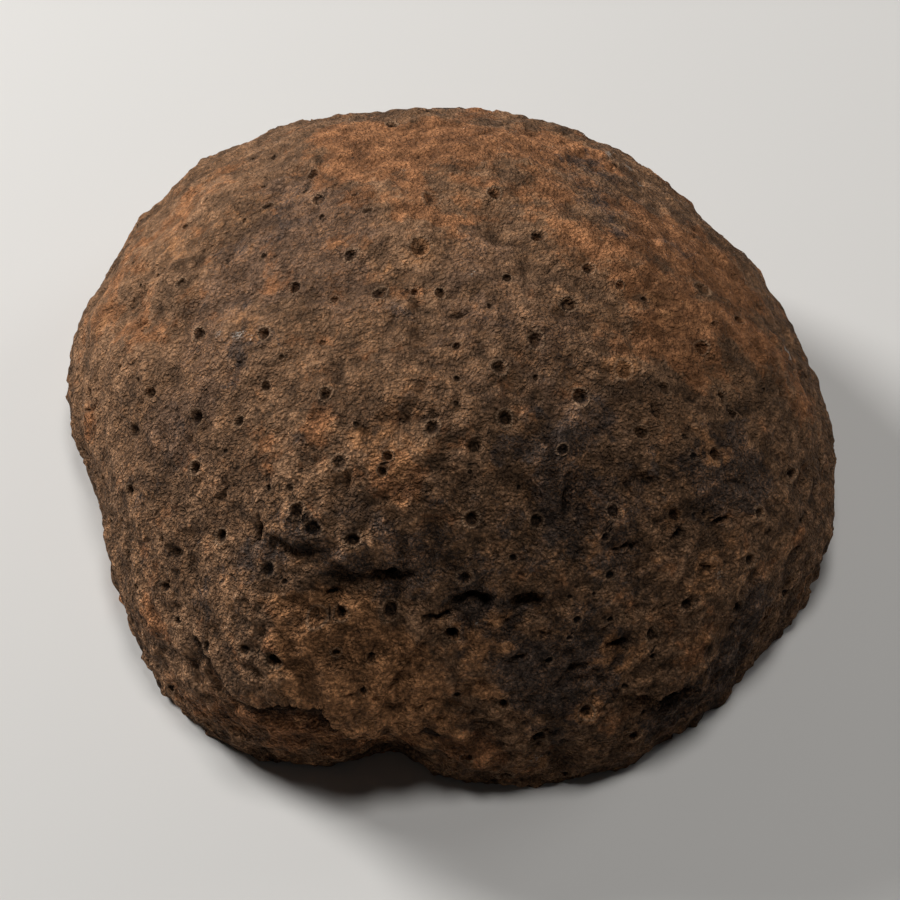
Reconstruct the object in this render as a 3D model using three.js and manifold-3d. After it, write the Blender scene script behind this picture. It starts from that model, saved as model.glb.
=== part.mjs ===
// Fossil coral head: one domed colony that grew in layers, with its calices left as pits.
// It is cut off flat where it grew and rests on the cut.
// Millimetres, +Z up, the origin in the middle of the cut face, +X along the longest way across.
import * as THREE from 'three';
import { mergeVertices } from 'three/addons/utils/BufferGeometryUtils.js';
import Module from 'manifold-3d';

const { clamp, degToRad, smoothstep } = THREE.MathUtils;

// Driving dimensions
const headHeight = 76; // cut face to crown
const sideTurn = degToRad(100); // from the crown round the side to the cut, which tucks in under the girth
// girth every 20 degrees of azimuth
const girthRadii = [78, 76, 74, 77, 79, 81.5, 86.5, 86.5, 83, 76.5, 72, 75, 74, 66, 71.5, 74, 74.5, 78];
const crownRound = 0.85; // how far the girth's lobes have died away at the crown
const crownSpot = [0.6, -5.16]; // where the crown's axis stands over the cut face
const gridCells = 42; // cells along each side of the surface grid
const caliceSpacing = 11.5; // between calices on the hidden side
const ledgeEnd = 0.28; // share of a ledge's length over which it dies away at each end
const pocketSides = 6; // corners round a calice or slot
const floorShare = 0.6; // a pocket's floor against its mouth
const caliceDepth = 0.42; // share of a calice's width
const caliceCover = 1; // how far a calice's cutter stands out of the surface, mm
const slotCover = 4; // the same for a slot, which may lie under a lip

// The show face is laid out on a square sheet, as seen by an eye above the front rim.
const sheet = {
  middle: 450, // half the sheet's side, in sheet units
  unitsPerMm: 4.875, // at the aim point
  eyeRise: degToRad(55), // above the horizon
  eyeDistance: 620, // from the aim point
  aimHeight: 17, // up the crown's axis
};

// Broad swells and hollows of the show face: sheet x, sheet y, radius in mm, height in mm
const swells = [
  [385, 470, 15, 2.2], [290, 450, 11, 1.0], [392, 482, 9, 0.7], [440, 452, 9, 0.9], [495, 412, 9, 0.8],
  [512, 508, 12, -0.5], [690, 470, 16, 1.0], [560, 650, 17, -1.8], [200, 560, 14, -0.8], [400, 690, 11, 1.2],
  [330, 650, 14, 1.2], [300, 590, 9, -0.8], [130, 306, 6, -0.9], [76, 412, 6, -1.6], [640, 300, 16, 0.9],
  [392, 760, 5, -3.0], [250, 330, 15, -0.8], [780, 620, 9, -1.2], [66, 352, 6, 2.0], [85, 505, 9, -2.2],
  [155, 680, 8, 1.0], [500, 112, 9, 0.9], [430, 104, 6, -0.7], [215, 150, 9, 1.0], [845, 490, 7, 1.3],
  [790, 325, 5, 1.2], [520, 790, 6, -1.0], [310, 765, 7, -0.8], [708, 716, 5, 1.2], [422, 768, 4, 1.4],
];

// Growth ledges, where a younger layer stops short of the one below. Points run left to right on the sheet.
// lip: how far it stands up; back: how far it takes to blend in uphill; face: width of the drop;
// sunk and out: depth and width of the hollow below the drop; over: how far the lip hangs out.
const ledges = [
  {
    lip: 5.4, back: 22, face: 1.2, sunk: 1.6, out: 10, over: 1.2,
    points: [
      [160, 634], [180, 654], [204, 673], [226, 688], [250, 698], [286, 696], [328, 702],
      [338, 716], [350, 728], [376, 739], [402, 742], [430, 749], [458, 756],
    ],
  },
  {
    lip: 1.2, back: 10, face: 1.2, sunk: 1.0, out: 6, over: 0.2,
    points: [[256, 508], [270, 530], [290, 541], [312, 545], [336, 546]],
  },
  {
    lip: 1.4, back: 12, face: 1.4, sunk: 1.6, out: 10, over: 0.2,
    points: [[326, 556], [346, 562], [372, 566], [402, 566], [424, 573]],
  },
  {
    lip: 1.8, back: 11, face: 1.2, sunk: 2.6, out: 8, over: 0.8,
    points: [[620, 703], [646, 694], [672, 691], [696, 691], [716, 683]],
  },
];

// Ledges of the hidden side: azimuth and height of their points, in degrees and mm
const hiddenLedges = [
  {
    lip: 1.6, back: 16, face: 1.4, sunk: 2.2, out: 10, over: 0.6,
    points: [[138, 22], [124, 18], [108, 19], [92, 24], [76, 21], [62, 26]],
  },
  {
    lip: 1.2, back: 12, face: 1.4, sunk: 1.4, out: 8, over: 0.4,
    points: [[56, 17], [44, 14], [30, 18], [16, 15]],
  },
];

// Slots, cracks and undercut pockets: start and end on the sheet, width and depth in mm
const slots = [
  [454, 600, 490, 602, 2.2, 3.0],
  [514, 602, 543, 601, 2.6, 3.0],
  [630, 480, 661, 477, 1.8, 1.6],
  [656, 696, 696, 696, 2.0, 2.2],
  [709, 519, 735, 518, 1.2, 1.6],
  [568, 470, 574, 512, 1.8, 1.8],
  [611, 548, 641, 548, 1.2, 1.3],
  [699, 569, 717, 571, 1.2, 1.2],
  [374, 571, 403, 572, 1.6, 1.4],
  [278, 706, 334, 707, 1.6, 1.4],
  [295, 545, 320, 546, 1.3, 1.0],
  [420, 621, 450, 615, 1.3, 1.1],
  [258, 515, 257, 542, 1.0, 0.8],
  [652, 404, 661, 419, 1.3, 1.0],
  [120, 308, 140, 305, 1.8, 1.1],
];

// Calices of the show face: sheet x, sheet y, width in sheet units
const calices = [
  [311, 171, 14], [319, 199, 12], [392, 124, 12], [494, 195, 13], [432, 200, 16], [368, 211, 11],
  [538, 237, 13], [588, 269, 12], [420, 249, 18], [351, 256, 13], [380, 294, 14], [295, 287, 12],
  [265, 334, 12], [199, 334, 12], [568, 305, 14], [703, 289, 15], [536, 340, 14], [149, 393, 12],
  [198, 418, 14], [239, 421, 11], [134, 431, 14], [197, 469, 13], [130, 491, 13], [99, 476, 11],
  [327, 396, 12], [340, 462, 13], [499, 369, 13], [505, 418, 13], [432, 428, 13], [474, 446, 13],
  [581, 397, 15], [561, 451, 11], [623, 371, 17], [702, 347, 13], [664, 389, 12], [723, 396, 12],
  [733, 414, 11], [642, 432, 13], [715, 454, 16], [613, 511, 13], [676, 515, 18], [755, 512, 12],
  [804, 520, 11], [793, 474, 11], [824, 463, 11], [749, 560, 13], [610, 575, 11], [471, 519, 14],
  [537, 521, 12], [465, 577, 13], [297, 510, 12], [312, 529, 14], [353, 540, 12], [221, 536, 14],
  [163, 538, 13], [267, 570, 14], [166, 587, 11], [390, 612, 15], [341, 613, 13], [317, 617, 15],
  [244, 650, 12], [274, 661, 12], [451, 636, 14], [467, 757, 12], [506, 775, 14], [566, 774, 13],
  [586, 711, 19], [634, 735, 13], [653, 636, 13], [687, 604, 13], [736, 606, 14], [786, 594, 11],
  [538, 738, 14],
];

// The sheet's eye, and the directions across and up the sheet
const toEye = new THREE.Vector3(0, -Math.cos(sheet.eyeRise), Math.sin(sheet.eyeRise));
const sheetUp = new THREE.Vector3(0, Math.sin(sheet.eyeRise), Math.cos(sheet.eyeRise));
const aim = new THREE.Vector3(0, 0, sheet.aimHeight);
const eye = aim.clone().addScaledVector(toEye, sheet.eyeDistance);

const meanGirth = girthRadii.reduce((sum, radius) => sum + radius) / girthRadii.length;

// Girth radius at any azimuth: a closed Catmull-Rom curve through the listed radii, rounding to their mean
// towards the crown
function girthAt(azimuth, height) {
  const count = girthRadii.length;
  const place = ((azimuth / (2 * Math.PI)) * count + count) % count;
  const first = Math.floor(place);
  const t = place - first;
  const [a, b, c, d] = [-1, 0, 1, 2].map((step) => girthRadii[(first + step + count) % count]);
  const girth = b + 0.5 * t * (c - a + t * (2 * a - 5 * b + 4 * c - d + t * (3 * (b - c) + d - a)));
  const share = crownRound * clamp(height / headHeight, 0, 1) ** 2;
  return girth + (meanGirth - girth) * share;
}

// Below 0 inside the bare dome, 0 on it, above 0 outside
function domeGap(p) {
  const cosCut = Math.cos(sideTurn);
  const rise = cosCut + (p.z * (1 - cosCut)) / headHeight;
  const reach = Math.hypot(p.x, p.y) / girthAt(Math.atan2(p.y, p.x), p.z);
  return reach * reach + rise * rise - 1;
}

// The dome's outward direction, from the way domeGap grows
function domeNormal(p) {
  const step = 0.05;
  const growth = ([x, y, z]) => {
    const ahead = domeGap(new THREE.Vector3(p.x + x, p.y + y, p.z + z));
    const behind = domeGap(new THREE.Vector3(p.x - x, p.y - y, p.z - z));
    return ahead - behind;
  };
  return new THREE.Vector3(...[[step, 0, 0], [0, step, 0], [0, 0, step]].map(growth)).normalize();
}

// A point of the dome from its turn away from the crown (0 to 1 at the cut) and its azimuth
function domePoint(turn, azimuth) {
  const cosCut = Math.cos(sideTurn);
  const z = (headHeight * (Math.cos(turn * sideTurn) - cosCut)) / (1 - cosCut);
  const reach = girthAt(azimuth, z) * Math.sin(turn * sideTurn);
  return new THREE.Vector3(reach * Math.cos(azimuth), reach * Math.sin(azimuth), z);
}

// A square grid point, both ways from -1 to 1, laid onto a disc so that its cells stay alike in size
function squareToDisc(u, v) {
  const steep = Math.abs(u) > Math.abs(v);
  const radius = steep ? u : v;
  if (radius === 0) return [0, 0];
  const angle = steep ? (Math.PI / 4) * (v / u) : Math.PI / 2 - (Math.PI / 4) * (u / v);
  return radius < 0 ? [-radius, angle + Math.PI] : [radius, angle];
}

// The spot of the dome seen at a place on the sheet: where the sight line first meets the dome,
// or passes nearest to it when the place is just past the limb
function spotOnSheet(x, y) {
  const across = (x - sheet.middle) / sheet.unitsPerMm;
  const upward = (sheet.middle - y) / sheet.unitsPerMm;
  const target = aim.clone().addScaledVector(sheetUp, upward);
  target.x += across;
  const sight = new THREE.Ray(eye, target.sub(eye).normalize());
  const gapAt = (far) => domeGap(sight.at(far, new THREE.Vector3()));
  const nearest = sheet.eyeDistance - 110;
  const farthest = sheet.eyeDistance + 110;
  let best = nearest;
  for (let far = nearest; far < farthest && gapAt(best) > 0; far += 1) {
    if (gapAt(far) < gapAt(best)) best = far;
  }
  if (gapAt(best) > 0) return sight.at(best, new THREE.Vector3());
  let [outside, inside] = [best - 1, best];
  for (let halving = 0; halving < 20; halving += 1) {
    const mid = (outside + inside) / 2;
    if (gapAt(mid) > 0) outside = mid;
    else inside = mid;
  }
  return sight.at(inside, new THREE.Vector3());
}

// Where a point is seen on the sheet: its offset from the aim, made smaller with its distance from the eye
function onSheet(p) {
  const offset = p.clone().sub(aim);
  const scale = (sheet.unitsPerMm * sheet.eyeDistance) / (sheet.eyeDistance - offset.dot(toEye));
  return [sheet.middle + offset.x * scale, sheet.middle - offset.dot(sheetUp) * scale];
}

// The spot whose lifted point is seen at a place: the place is shifted by what the lift moved it, twice
function liftedSpot(x, y, liftOf) {
  let [movedX, movedY] = [x, y];
  let spot = spotOnSheet(x, y);
  for (let turn = 0; turn < 2; turn += 1) {
    const [seenX, seenY] = onSheet(spot.clone().addScaledVector(domeNormal(spot), liftOf(spot)));
    movedX += x - seenX;
    movedY += y - seenY;
    spot = spotOnSheet(movedX, movedY);
  }
  return spot;
}

// The spot of the dome at an azimuth in degrees and a height
function spotAtHeight(degrees, height) {
  const cosCut = Math.cos(sideTurn);
  const turn = Math.acos(cosCut + (height * (1 - cosCut)) / headHeight) / sideTurn;
  return domePoint(turn, degToRad(degrees));
}

// How far a point lies from a ledge's lip (above 0 downhill), how far along the lip that is
// as a share of its length, and which way is downhill
function placeByLedge(path, p, normal) {
  let nearest = { away: Infinity };
  for (let i = 0; i + 1 < path.length; i += 1) {
    const along = path[i + 1].clone().sub(path[i]);
    const t = clamp(p.clone().sub(path[i]).dot(along) / along.lengthSq(), 0, 1);
    const offset = p.clone().sub(path[i].clone().addScaledVector(along, t));
    if (offset.length() < nearest.away) {
      const downhill = along.clone().cross(normal).normalize();
      const side = Math.sign(offset.dot(downhill));
      nearest = { away: offset.length(), side, share: (i + t) / (path.length - 1), downhill };
    }
  }
  const middle = smoothstep(Math.min(nearest.share, 1 - nearest.share), 0, ledgeEnd);
  return { past: nearest.away * nearest.side, middle, downhill: nearest.downhill };
}

// Slow waviness of the whole surface, in mm
function waviness(p) {
  const long = 0.55 * Math.sin(p.x / 8.3 + 0.4) * Math.cos(p.y / 7.1 + 1.3);
  const short = 0.35 * Math.sin((p.x + p.y) / 4.9 + p.z / 5.7);
  return long + short;
}

const swellSpots = swells.map(([x, y, radius, height]) => ({ spot: spotOnSheet(x, y), radius, height }));

// Waviness and the round swells together
function swellLift(p) {
  let lift = waviness(p);
  for (const { spot, radius, height } of swellSpots) {
    lift += height * Math.exp(-p.distanceToSquared(spot) / (2 * radius * radius));
  }
  return lift;
}

const smoothPath = (spots) => new THREE.CatmullRomCurve3(spots).getPoints(6 * (spots.length - 1));
const ledgePaths = [
  ...ledges.map((ledge) => {
    const spots = ledge.points.map(([x, y]) => liftedSpot(x, y, (p) => swellLift(p) + ledge.lip));
    return { ...ledge, path: smoothPath(spots) };
  }),
  ...hiddenLedges.map((ledge) => {
    const spots = ledge.points.map(([degrees, height]) => spotAtHeight(degrees, height));
    return { ...ledge, path: smoothPath(spots) };
  }),
];

// A ledge's profile: blending up to the lip, the drop, and the hollow below it
function ledgeLift({ lip, back, face, sunk, out }, past) {
  if (past < 0) return lip * Math.exp(past / back);
  const dropped = smoothstep(past, 0, face);
  const hollow = sunk * clamp(1 - (past - face) / out, 0, 1) ** 1.3;
  return lip * (1 - dropped) - hollow * dropped;
}

// How far the surface with its forms stands off the bare dome
function broadLift(p, normal) {
  let lift = swellLift(p);
  for (const ledge of ledgePaths) {
    const { past, middle } = placeByLedge(ledge.path, p, normal);
    lift += middle * ledgeLift(ledge, past);
  }
  return lift;
}

// A point of the finished surface: the dome with its grid drawn in towards each lip, lifted and
// lowered by its forms, the lips sliding out over their hollows
function surfacePoint(turn, azimuth) {
  const p = domePoint(turn, azimuth);
  const normal = domeNormal(p);
  const freed = smoothstep(p.z, 1, 5);
  for (const { path } of ledgePaths) {
    const { past, middle, downhill } = placeByLedge(path, p, normal);
    const drawIn = 0.75 * middle * freed * Math.exp(-((past / 4) ** 2));
    p.addScaledVector(downhill, -past * drawIn);
  }
  const lift = broadLift(p, normal);
  const slide = new THREE.Vector3();
  for (const { path, over } of ledgePaths) {
    const { past, middle, downhill } = placeByLedge(path, p, normal);
    slide.addScaledVector(downhill, over * middle * freed * Math.exp(-((past / 1) ** 2)));
  }
  if (normal.z < 0) normal.z *= smoothstep(p.z, 0, 12);
  p.addScaledVector(normal, lift).add(slide);
  p.z = turn === 1 ? 0 : Math.max(p.z, 0.4);
  return p;
}

// The whole closed body: the surface grid, and a fan over the cut
function buildBody() {
  const side = gridCells + 1;
  const positions = [];
  for (let row = 0; row < side; row += 1) {
    for (let column = 0; column < side; column += 1) {
      const [radius, angle] = squareToDisc((2 * column) / gridCells - 1, (2 * row) / gridCells - 1);
      positions.push(...surfacePoint(radius, angle));
    }
  }
  // each cell is split through the corner that the disc flattens, so that no face is a sliver
  const faces = [];
  const middle = (gridCells - 1) / 2;
  for (let row = 0; row < gridCells; row += 1) {
    for (let column = 0; column < gridCells; column += 1) {
      const a = row * side + column;
      const [b, c, d] = [a + 1, a + side + 1, a + side];
      if ((row - middle) * (column - middle) > 0) faces.push(a, b, c, a, c, d);
      else faces.push(a, b, d, b, c, d);
    }
  }
  const rim = [];
  for (let i = 0; i < gridCells; i += 1) rim.push(i);
  for (let i = 0; i < gridCells; i += 1) rim.push(i * side + gridCells);
  for (let i = gridCells; i > 0; i -= 1) rim.push(gridCells * side + i);
  for (let i = gridCells; i > 0; i -= 1) rim.push(i * side);
  const centre = positions.length / 3;
  positions.push(0, 0, 0);
  rim.forEach((corner, i) => faces.push(centre, rim[(i + 1) % rim.length], corner));
  return solidFrom(positions, faces);
}

// A tapered pocket sunk into the surface: a ring of corners above it, a smaller ring at its floor
function buildPocket({ spot, normal, along, halfLength, halfWidth, depth, cover }) {
  const sides = pocketSides;
  const across = normal.clone().cross(along);
  const positions = [];
  for (const [height, size] of [[cover, 1.1], [-depth, floorShare]]) {
    for (let i = 0; i < sides; i += 1) {
      const angle = (2 * Math.PI * i) / sides;
      const corner = spot.clone().addScaledVector(normal, height);
      corner.addScaledVector(along, halfLength * size * Math.cos(angle));
      corner.addScaledVector(across, halfWidth * size * Math.sin(angle));
      positions.push(...corner);
    }
  }
  const faces = [];
  for (let i = 0; i < sides; i += 1) {
    const next = (i + 1) % sides;
    faces.push(sides + i, sides + next, next, sides + i, next, i);
  }
  for (let i = 1; i + 1 < sides; i += 1) {
    faces.push(0, i, i + 1, sides, sides + i + 1, sides + i);
  }
  return solidFrom(positions, faces);
}

const liftAt = (spot) => broadLift(spot, domeNormal(spot));

function calicePocket(spot, width) {
  const normal = domeNormal(spot);
  return buildPocket({
    spot: spot.clone().addScaledVector(normal, liftAt(spot)),
    normal,
    along: new THREE.Vector3(1, 0, 0).cross(normal).normalize(),
    halfLength: width / 2,
    halfWidth: width / 2,
    depth: width * caliceDepth,
    cover: caliceCover,
  });
}

function slotPocket([x1, y1, x2, y2, width, depth]) {
  const start = liftedSpot(x1, y1, liftAt);
  const end = liftedSpot(x2, y2, liftAt);
  const spot = liftedSpot((x1 + x2) / 2, (y1 + y2) / 2, liftAt);
  const normal = domeNormal(spot);
  const run = end.clone().sub(start);
  return buildPocket({
    spot: spot.clone().addScaledVector(normal, liftAt(spot)),
    normal,
    along: run.clone().addScaledVector(normal, -run.dot(normal)).normalize(),
    halfLength: run.length() / 2,
    halfWidth: width / 2,
    depth,
    cover: slotCover,
  });
}

// Calices of the hidden side: a golden-angle spiral over the dome, each shifted a little,
// kept where the sheet's eye can't see it and clear of the rim
function hiddenCaliceSpots() {
  const goldenAngle = Math.PI * (3 - Math.sqrt(5));
  const cosCut = Math.cos(sideTurn);
  const area = 2 * Math.PI * headHeight * 78;
  const count = Math.round(area / (caliceSpacing * caliceSpacing));
  const shuffle = (i, seed) => (((Math.sin(i * 12.9898 + seed * 78.233) * 43758.5453) % 1) + 1) % 1;
  const found = [];
  for (let i = 0; i < count; i += 1) {
    const share = clamp((i + 0.5 + 3 * (shuffle(i, 1) - 0.5)) / count, 0, 1);
    const turn = Math.acos(1 - share * (1 - cosCut)) / sideTurn;
    const spot = domePoint(turn, i * goldenAngle + 0.09 * (shuffle(i, 2) - 0.5));
    const width = 1.9 + 1.3 * shuffle(i, 3);
    const facing = domeNormal(spot).dot(eye.clone().sub(spot).normalize());
    if (facing < -0.06 && spot.z > 5) found.push([spot, width]);
  }
  return found;
}

const wasm = await Module();
wasm.setup();

// A closed mesh, given as corner positions and faces, made a solid
function solidFrom(positions, faces) {
  const geometry = new THREE.BufferGeometry();
  geometry.setAttribute('position', new THREE.Float32BufferAttribute(positions, 3));
  geometry.setIndex(faces);
  const merged = mergeVertices(geometry);
  const vertProperties = new Float32Array(merged.attributes.position.array);
  const triVerts = new Uint32Array(merged.index.array);
  return new wasm.Manifold(new wasm.Mesh({ numProp: 3, vertProperties, triVerts }));
}

function buildHead() {
  let head = buildBody();
  for (const [x, y, width] of calices) {
    head = head.subtract(calicePocket(liftedSpot(x, y, liftAt), width / sheet.unitsPerMm));
  }
  for (const [spot, width] of hiddenCaliceSpots()) {
    head = head.subtract(calicePocket(spot, width));
  }
  for (const slot of slots) {
    head = head.subtract(slotPocket(slot));
  }
  const { vertProperties, triVerts } = head.getMesh();
  const geometry = new THREE.BufferGeometry();
  geometry.setAttribute('position', new THREE.BufferAttribute(vertProperties, 3));
  geometry.setIndex(new THREE.BufferAttribute(triVerts, 1));
  geometry.translate(crownSpot[0], crownSpot[1], 0);
  return geometry;
}

const fossilCoral = new THREE.MeshStandardMaterial({ color: 0x7a5640, roughness: 0.9, metalness: 0 });
const coralHead = new THREE.Mesh(buildHead(), fossilCoral);
coralHead.name = 'coral_head';

const model = new THREE.Group();
model.add(coralHead);

export default model;
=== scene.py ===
import math
import bpy
import numpy as np
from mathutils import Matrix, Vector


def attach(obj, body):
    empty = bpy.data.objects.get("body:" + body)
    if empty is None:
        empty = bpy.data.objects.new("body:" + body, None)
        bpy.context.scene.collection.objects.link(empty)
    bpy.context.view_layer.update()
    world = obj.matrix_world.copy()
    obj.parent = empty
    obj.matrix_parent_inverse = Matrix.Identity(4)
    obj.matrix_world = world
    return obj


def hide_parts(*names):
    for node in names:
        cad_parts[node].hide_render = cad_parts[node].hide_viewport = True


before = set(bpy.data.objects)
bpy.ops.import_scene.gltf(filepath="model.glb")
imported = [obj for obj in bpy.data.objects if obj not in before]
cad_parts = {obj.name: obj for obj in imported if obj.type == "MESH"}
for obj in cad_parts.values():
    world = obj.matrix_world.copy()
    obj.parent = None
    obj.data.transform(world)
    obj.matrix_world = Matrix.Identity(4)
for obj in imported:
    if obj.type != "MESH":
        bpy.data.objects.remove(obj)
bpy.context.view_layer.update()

millimetre = 0.001

# The show face is laid out on a 900-unit square sheet, seen by an eye above the front rim.
# Every place named by a sheet x and y sits where its sight line meets the dome.
sheet = {
    "middle": 450.0,          # half the sheet's side, sheet units
    "unitsPerMm": 4.875,      # at the aim point
    "eyeRise": 55.0,          # degrees above the horizon
    "eyeDistance": 620.0,     # mm from the aim point
    "aimHeight": 17.0,        # mm up the crown's axis
}

coralHead = {
    "height": 76.0,           # mm, cut face to crown
    "sideTurn": 100.0,        # degrees from the crown round the side to the cut
    # mm, every 20 degrees round from the right
    "girthRadii": [78, 76, 74, 77, 79, 81.5, 86.5, 86.5, 83, 76.5, 72, 75, 74, 66, 71.5, 74, 74.5, 78],
    "crownRound": 0.85,       # how far the girth's lobes have died away at the crown
    "crownSpot": (0.6, -5.16),    # mm, where the crown's axis stands over the cut
    "gridCells": 300,         # cells along each side of the surface grid
    "lean": 0.10,             # how much finer the grid is towards the show face
    "baseRings": (0.03, 0.45),    # rings of the cut, in shares of the way from its rim to its middle
    "ledgeEnd": 0.28,         # share of a ledge's length over which each end dies away
    "sharpAngle": 75.0,       # degrees between faces from which an edge is drawn hard
    "seed": 11,
}

# sheet x, sheet y, radius mm, height mm
swells = [
    (385, 470, 15, 2.2), (290, 450, 11, 1.0), (392, 482, 9, 0.7), (440, 452, 9, 0.9), (495, 412, 9, 0.8),
    (512, 508, 12, -0.5), (690, 470, 16, 1.0), (560, 650, 17, -1.8), (200, 560, 14, -0.8),
    (400, 690, 11, 1.2), (330, 650, 14, 1.2), (300, 590, 9, -0.8), (130, 306, 6, -0.9), (76, 412, 6, -1.6),
    (640, 300, 16, 0.9), (392, 760, 5, -3.0), (250, 330, 15, -0.8), (780, 620, 9, -1.2), (66, 352, 6, 2.0),
    (85, 505, 9, -2.2), (155, 680, 8, 1.0), (500, 112, 9, 0.9), (430, 104, 6, -0.7), (215, 150, 9, 1.0),
    (845, 490, 7, 1.3), (790, 325, 5, 1.2), (520, 790, 6, -1.0), (310, 765, 7, -0.8), (708, 716, 5, 1.2),
    (422, 768, 4, 1.4),
]

# A younger growth layer that stops short of the one below. lip: how far it stands up, back: how far it
# takes to blend in uphill, face: width of the drop, sunk and out: depth and width of the hollow below it,
# over: how far the lip hangs out, dark: how far the painted shadow and dirt reach below it, all mm; the
# key after dark: how dark the painted shadow and dirt are, from 0 to 1; points: on the sheet
ledges = [
    {"lip": 5.6, "back": 22, "face": 1.0, "sunk": 1.6, "out": 10, "over": 1.6, "dark": 11.5, "shadowAndSoil": 1.0,
     "points": [(160, 634), (180, 654), (204, 673), (226, 688), (250, 698), (272, 702), (286, 696),
                (306, 700), (328, 702), (338, 716), (350, 728), (376, 739), (402, 742), (430, 749),
                (458, 756)]},
    {"lip": 1.2, "back": 10, "face": 1.2, "sunk": 1.0, "out": 6, "over": 0.2, "dark": 2.6, "shadowAndSoil": 0.3,
     "points": [(256, 508), (270, 530), (290, 541), (312, 545), (336, 546)]},
    {"lip": 1.4, "back": 12, "face": 1.4, "sunk": 1.4, "out": 10, "over": 0.1, "dark": 3.0, "shadowAndSoil": 0.35,
     "points": [(326, 556), (346, 562), (372, 566), (402, 566), (424, 573)]},
    {"lip": 1.8, "back": 11, "face": 1.0, "sunk": 2.4, "out": 8, "over": 0.8, "dark": 5.0, "shadowAndSoil": 0.6,
     "points": [(620, 703), (646, 694), (672, 691), (696, 691), (716, 683)]},
]
# the same on the hidden side, with points as azimuth in degrees and height in mm
hiddenLedges = [
    {"lip": 1.6, "back": 16, "face": 1.2, "sunk": 2.2, "out": 10, "over": 0.8, "dark": 4.0, "shadowAndSoil": 0.6,
     "points": [(138, 22), (124, 18), (108, 19), (92, 24), (76, 21), (62, 26)]},
    {"lip": 1.2, "back": 12, "face": 1.2, "sunk": 1.4, "out": 8, "over": 0.5, "dark": 4.0, "shadowAndSoil": 0.5,
     "points": [(56, 17), (44, 14), (30, 18), (16, 15)]},
]

# undercut slots: sheet x and y of the middle, half length and half width on the sheet, depth mm,
# turn in degrees
slots = [
    (472, 601, 21, 7.0, 2.6, 1), (528, 602, 16, 8.0, 2.8, -3), (645, 478, 17, 5.5, 1.4, 6),
    (676, 696, 20, 5.5, 2.4, 0), (648, 694, 8, 5.5, 2.0, 0), (722, 519, 11, 3.8, 1.4, -4),
    (572, 478, 9, 7.0, 2.2, 30), (567, 500, 4, 14.0, 1.4, 10), (626, 548, 14, 3.8, 1.3, 0),
    (708, 570, 8, 3.6, 1.2, 3), (388, 571, 13, 5.4, 1.0, 3), (306, 706, 26, 4.8, 1.3, 2),
    (678, 535, 8, 3.8, 1.1, -12), (657, 522, 6, 3.6, 1.0, 8), (672, 466, 5, 3.6, 0.9, 10),
    (740, 410, 11, 3.6, 1.0, 4), (308, 546, 12, 4.8, 0.7, 4), (435, 618, 15, 4.3, 1.0, -14),
    (616, 645, 10, 4.1, 1.1, 0), (706, 512, 4, 5.4, 1.0, 0), (628, 484, 3, 4.2, 1.0, 0),
    (335, 593, 10, 3.6, 0.9, -4), (783, 640, 7, 3.6, 1.0, 20), (598, 492, 7, 3.6, 0.8, 8),
    (300, 470, 4, 3.6, 0.7, 40), (348, 480, 3, 9.0, 0.8, 12), (130, 306, 10, 6.0, 1.0, -8),
    (690, 400, 10, 3.6, 0.7, 6), (655, 410, 3, 9.0, 0.8, -30), (520, 660, 10, 3.6, 0.9, 0),
    (580, 668, 12, 4.1, 1.0, 5),
]

# cracks and grooves: half width mm, depth mm, then points on the sheet
cracks = [
    (0.45, 0.9, [(258, 515), (262, 527), (259, 540), (253, 546)]),
    (0.50, 0.8, [(134, 327), (143, 325), (152, 320)]),
    (0.45, 0.7, [(110, 333), (118, 328), (125, 322)]),
    (0.50, 0.8, [(88, 392), (97, 388), (105, 380)]),
    (0.55, 0.9, [(80, 412), (90, 408), (97, 400)]),
    (0.45, 0.7, [(224, 266), (230, 262), (236, 256)]),
    (0.50, 0.7, [(322, 593), (330, 595), (338, 592)]),
    (0.45, 0.6, [(258, 640), (263, 635), (268, 632)]),
    (0.50, 0.5, [(445, 130), (470, 136), (490, 133), (505, 126)]),
    (0.50, 0.5, [(412, 156), (424, 153), (435, 148)]),
    (0.45, 0.5, [(437, 314), (460, 312), (480, 307)]),
    (0.45, 0.6, [(560, 260), (552, 268), (545, 275)]),
    (0.55, 1.0, [(652, 404), (656, 412), (661, 419)]),
    (0.55, 1.2, [(567, 486), (566, 500), (572, 516)]),
    (0.50, 0.8, [(535, 630), (546, 632), (556, 629)]),
    (0.50, 0.8, [(615, 644), (624, 642), (633, 645)]),
    (0.50, 0.9, [(430, 620), (440, 619), (450, 614)]),
    (0.40, 0.6, [(540, 437), (548, 442), (556, 443)]),
    (0.50, 0.8, [(215, 500), (222, 496), (226, 491)]),
    (0.40, 0.5, [(600, 498), (588, 496), (578, 490)]),
    (0.50, 0.7, [(722, 483), (734, 481), (744, 484)]),
]

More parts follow.
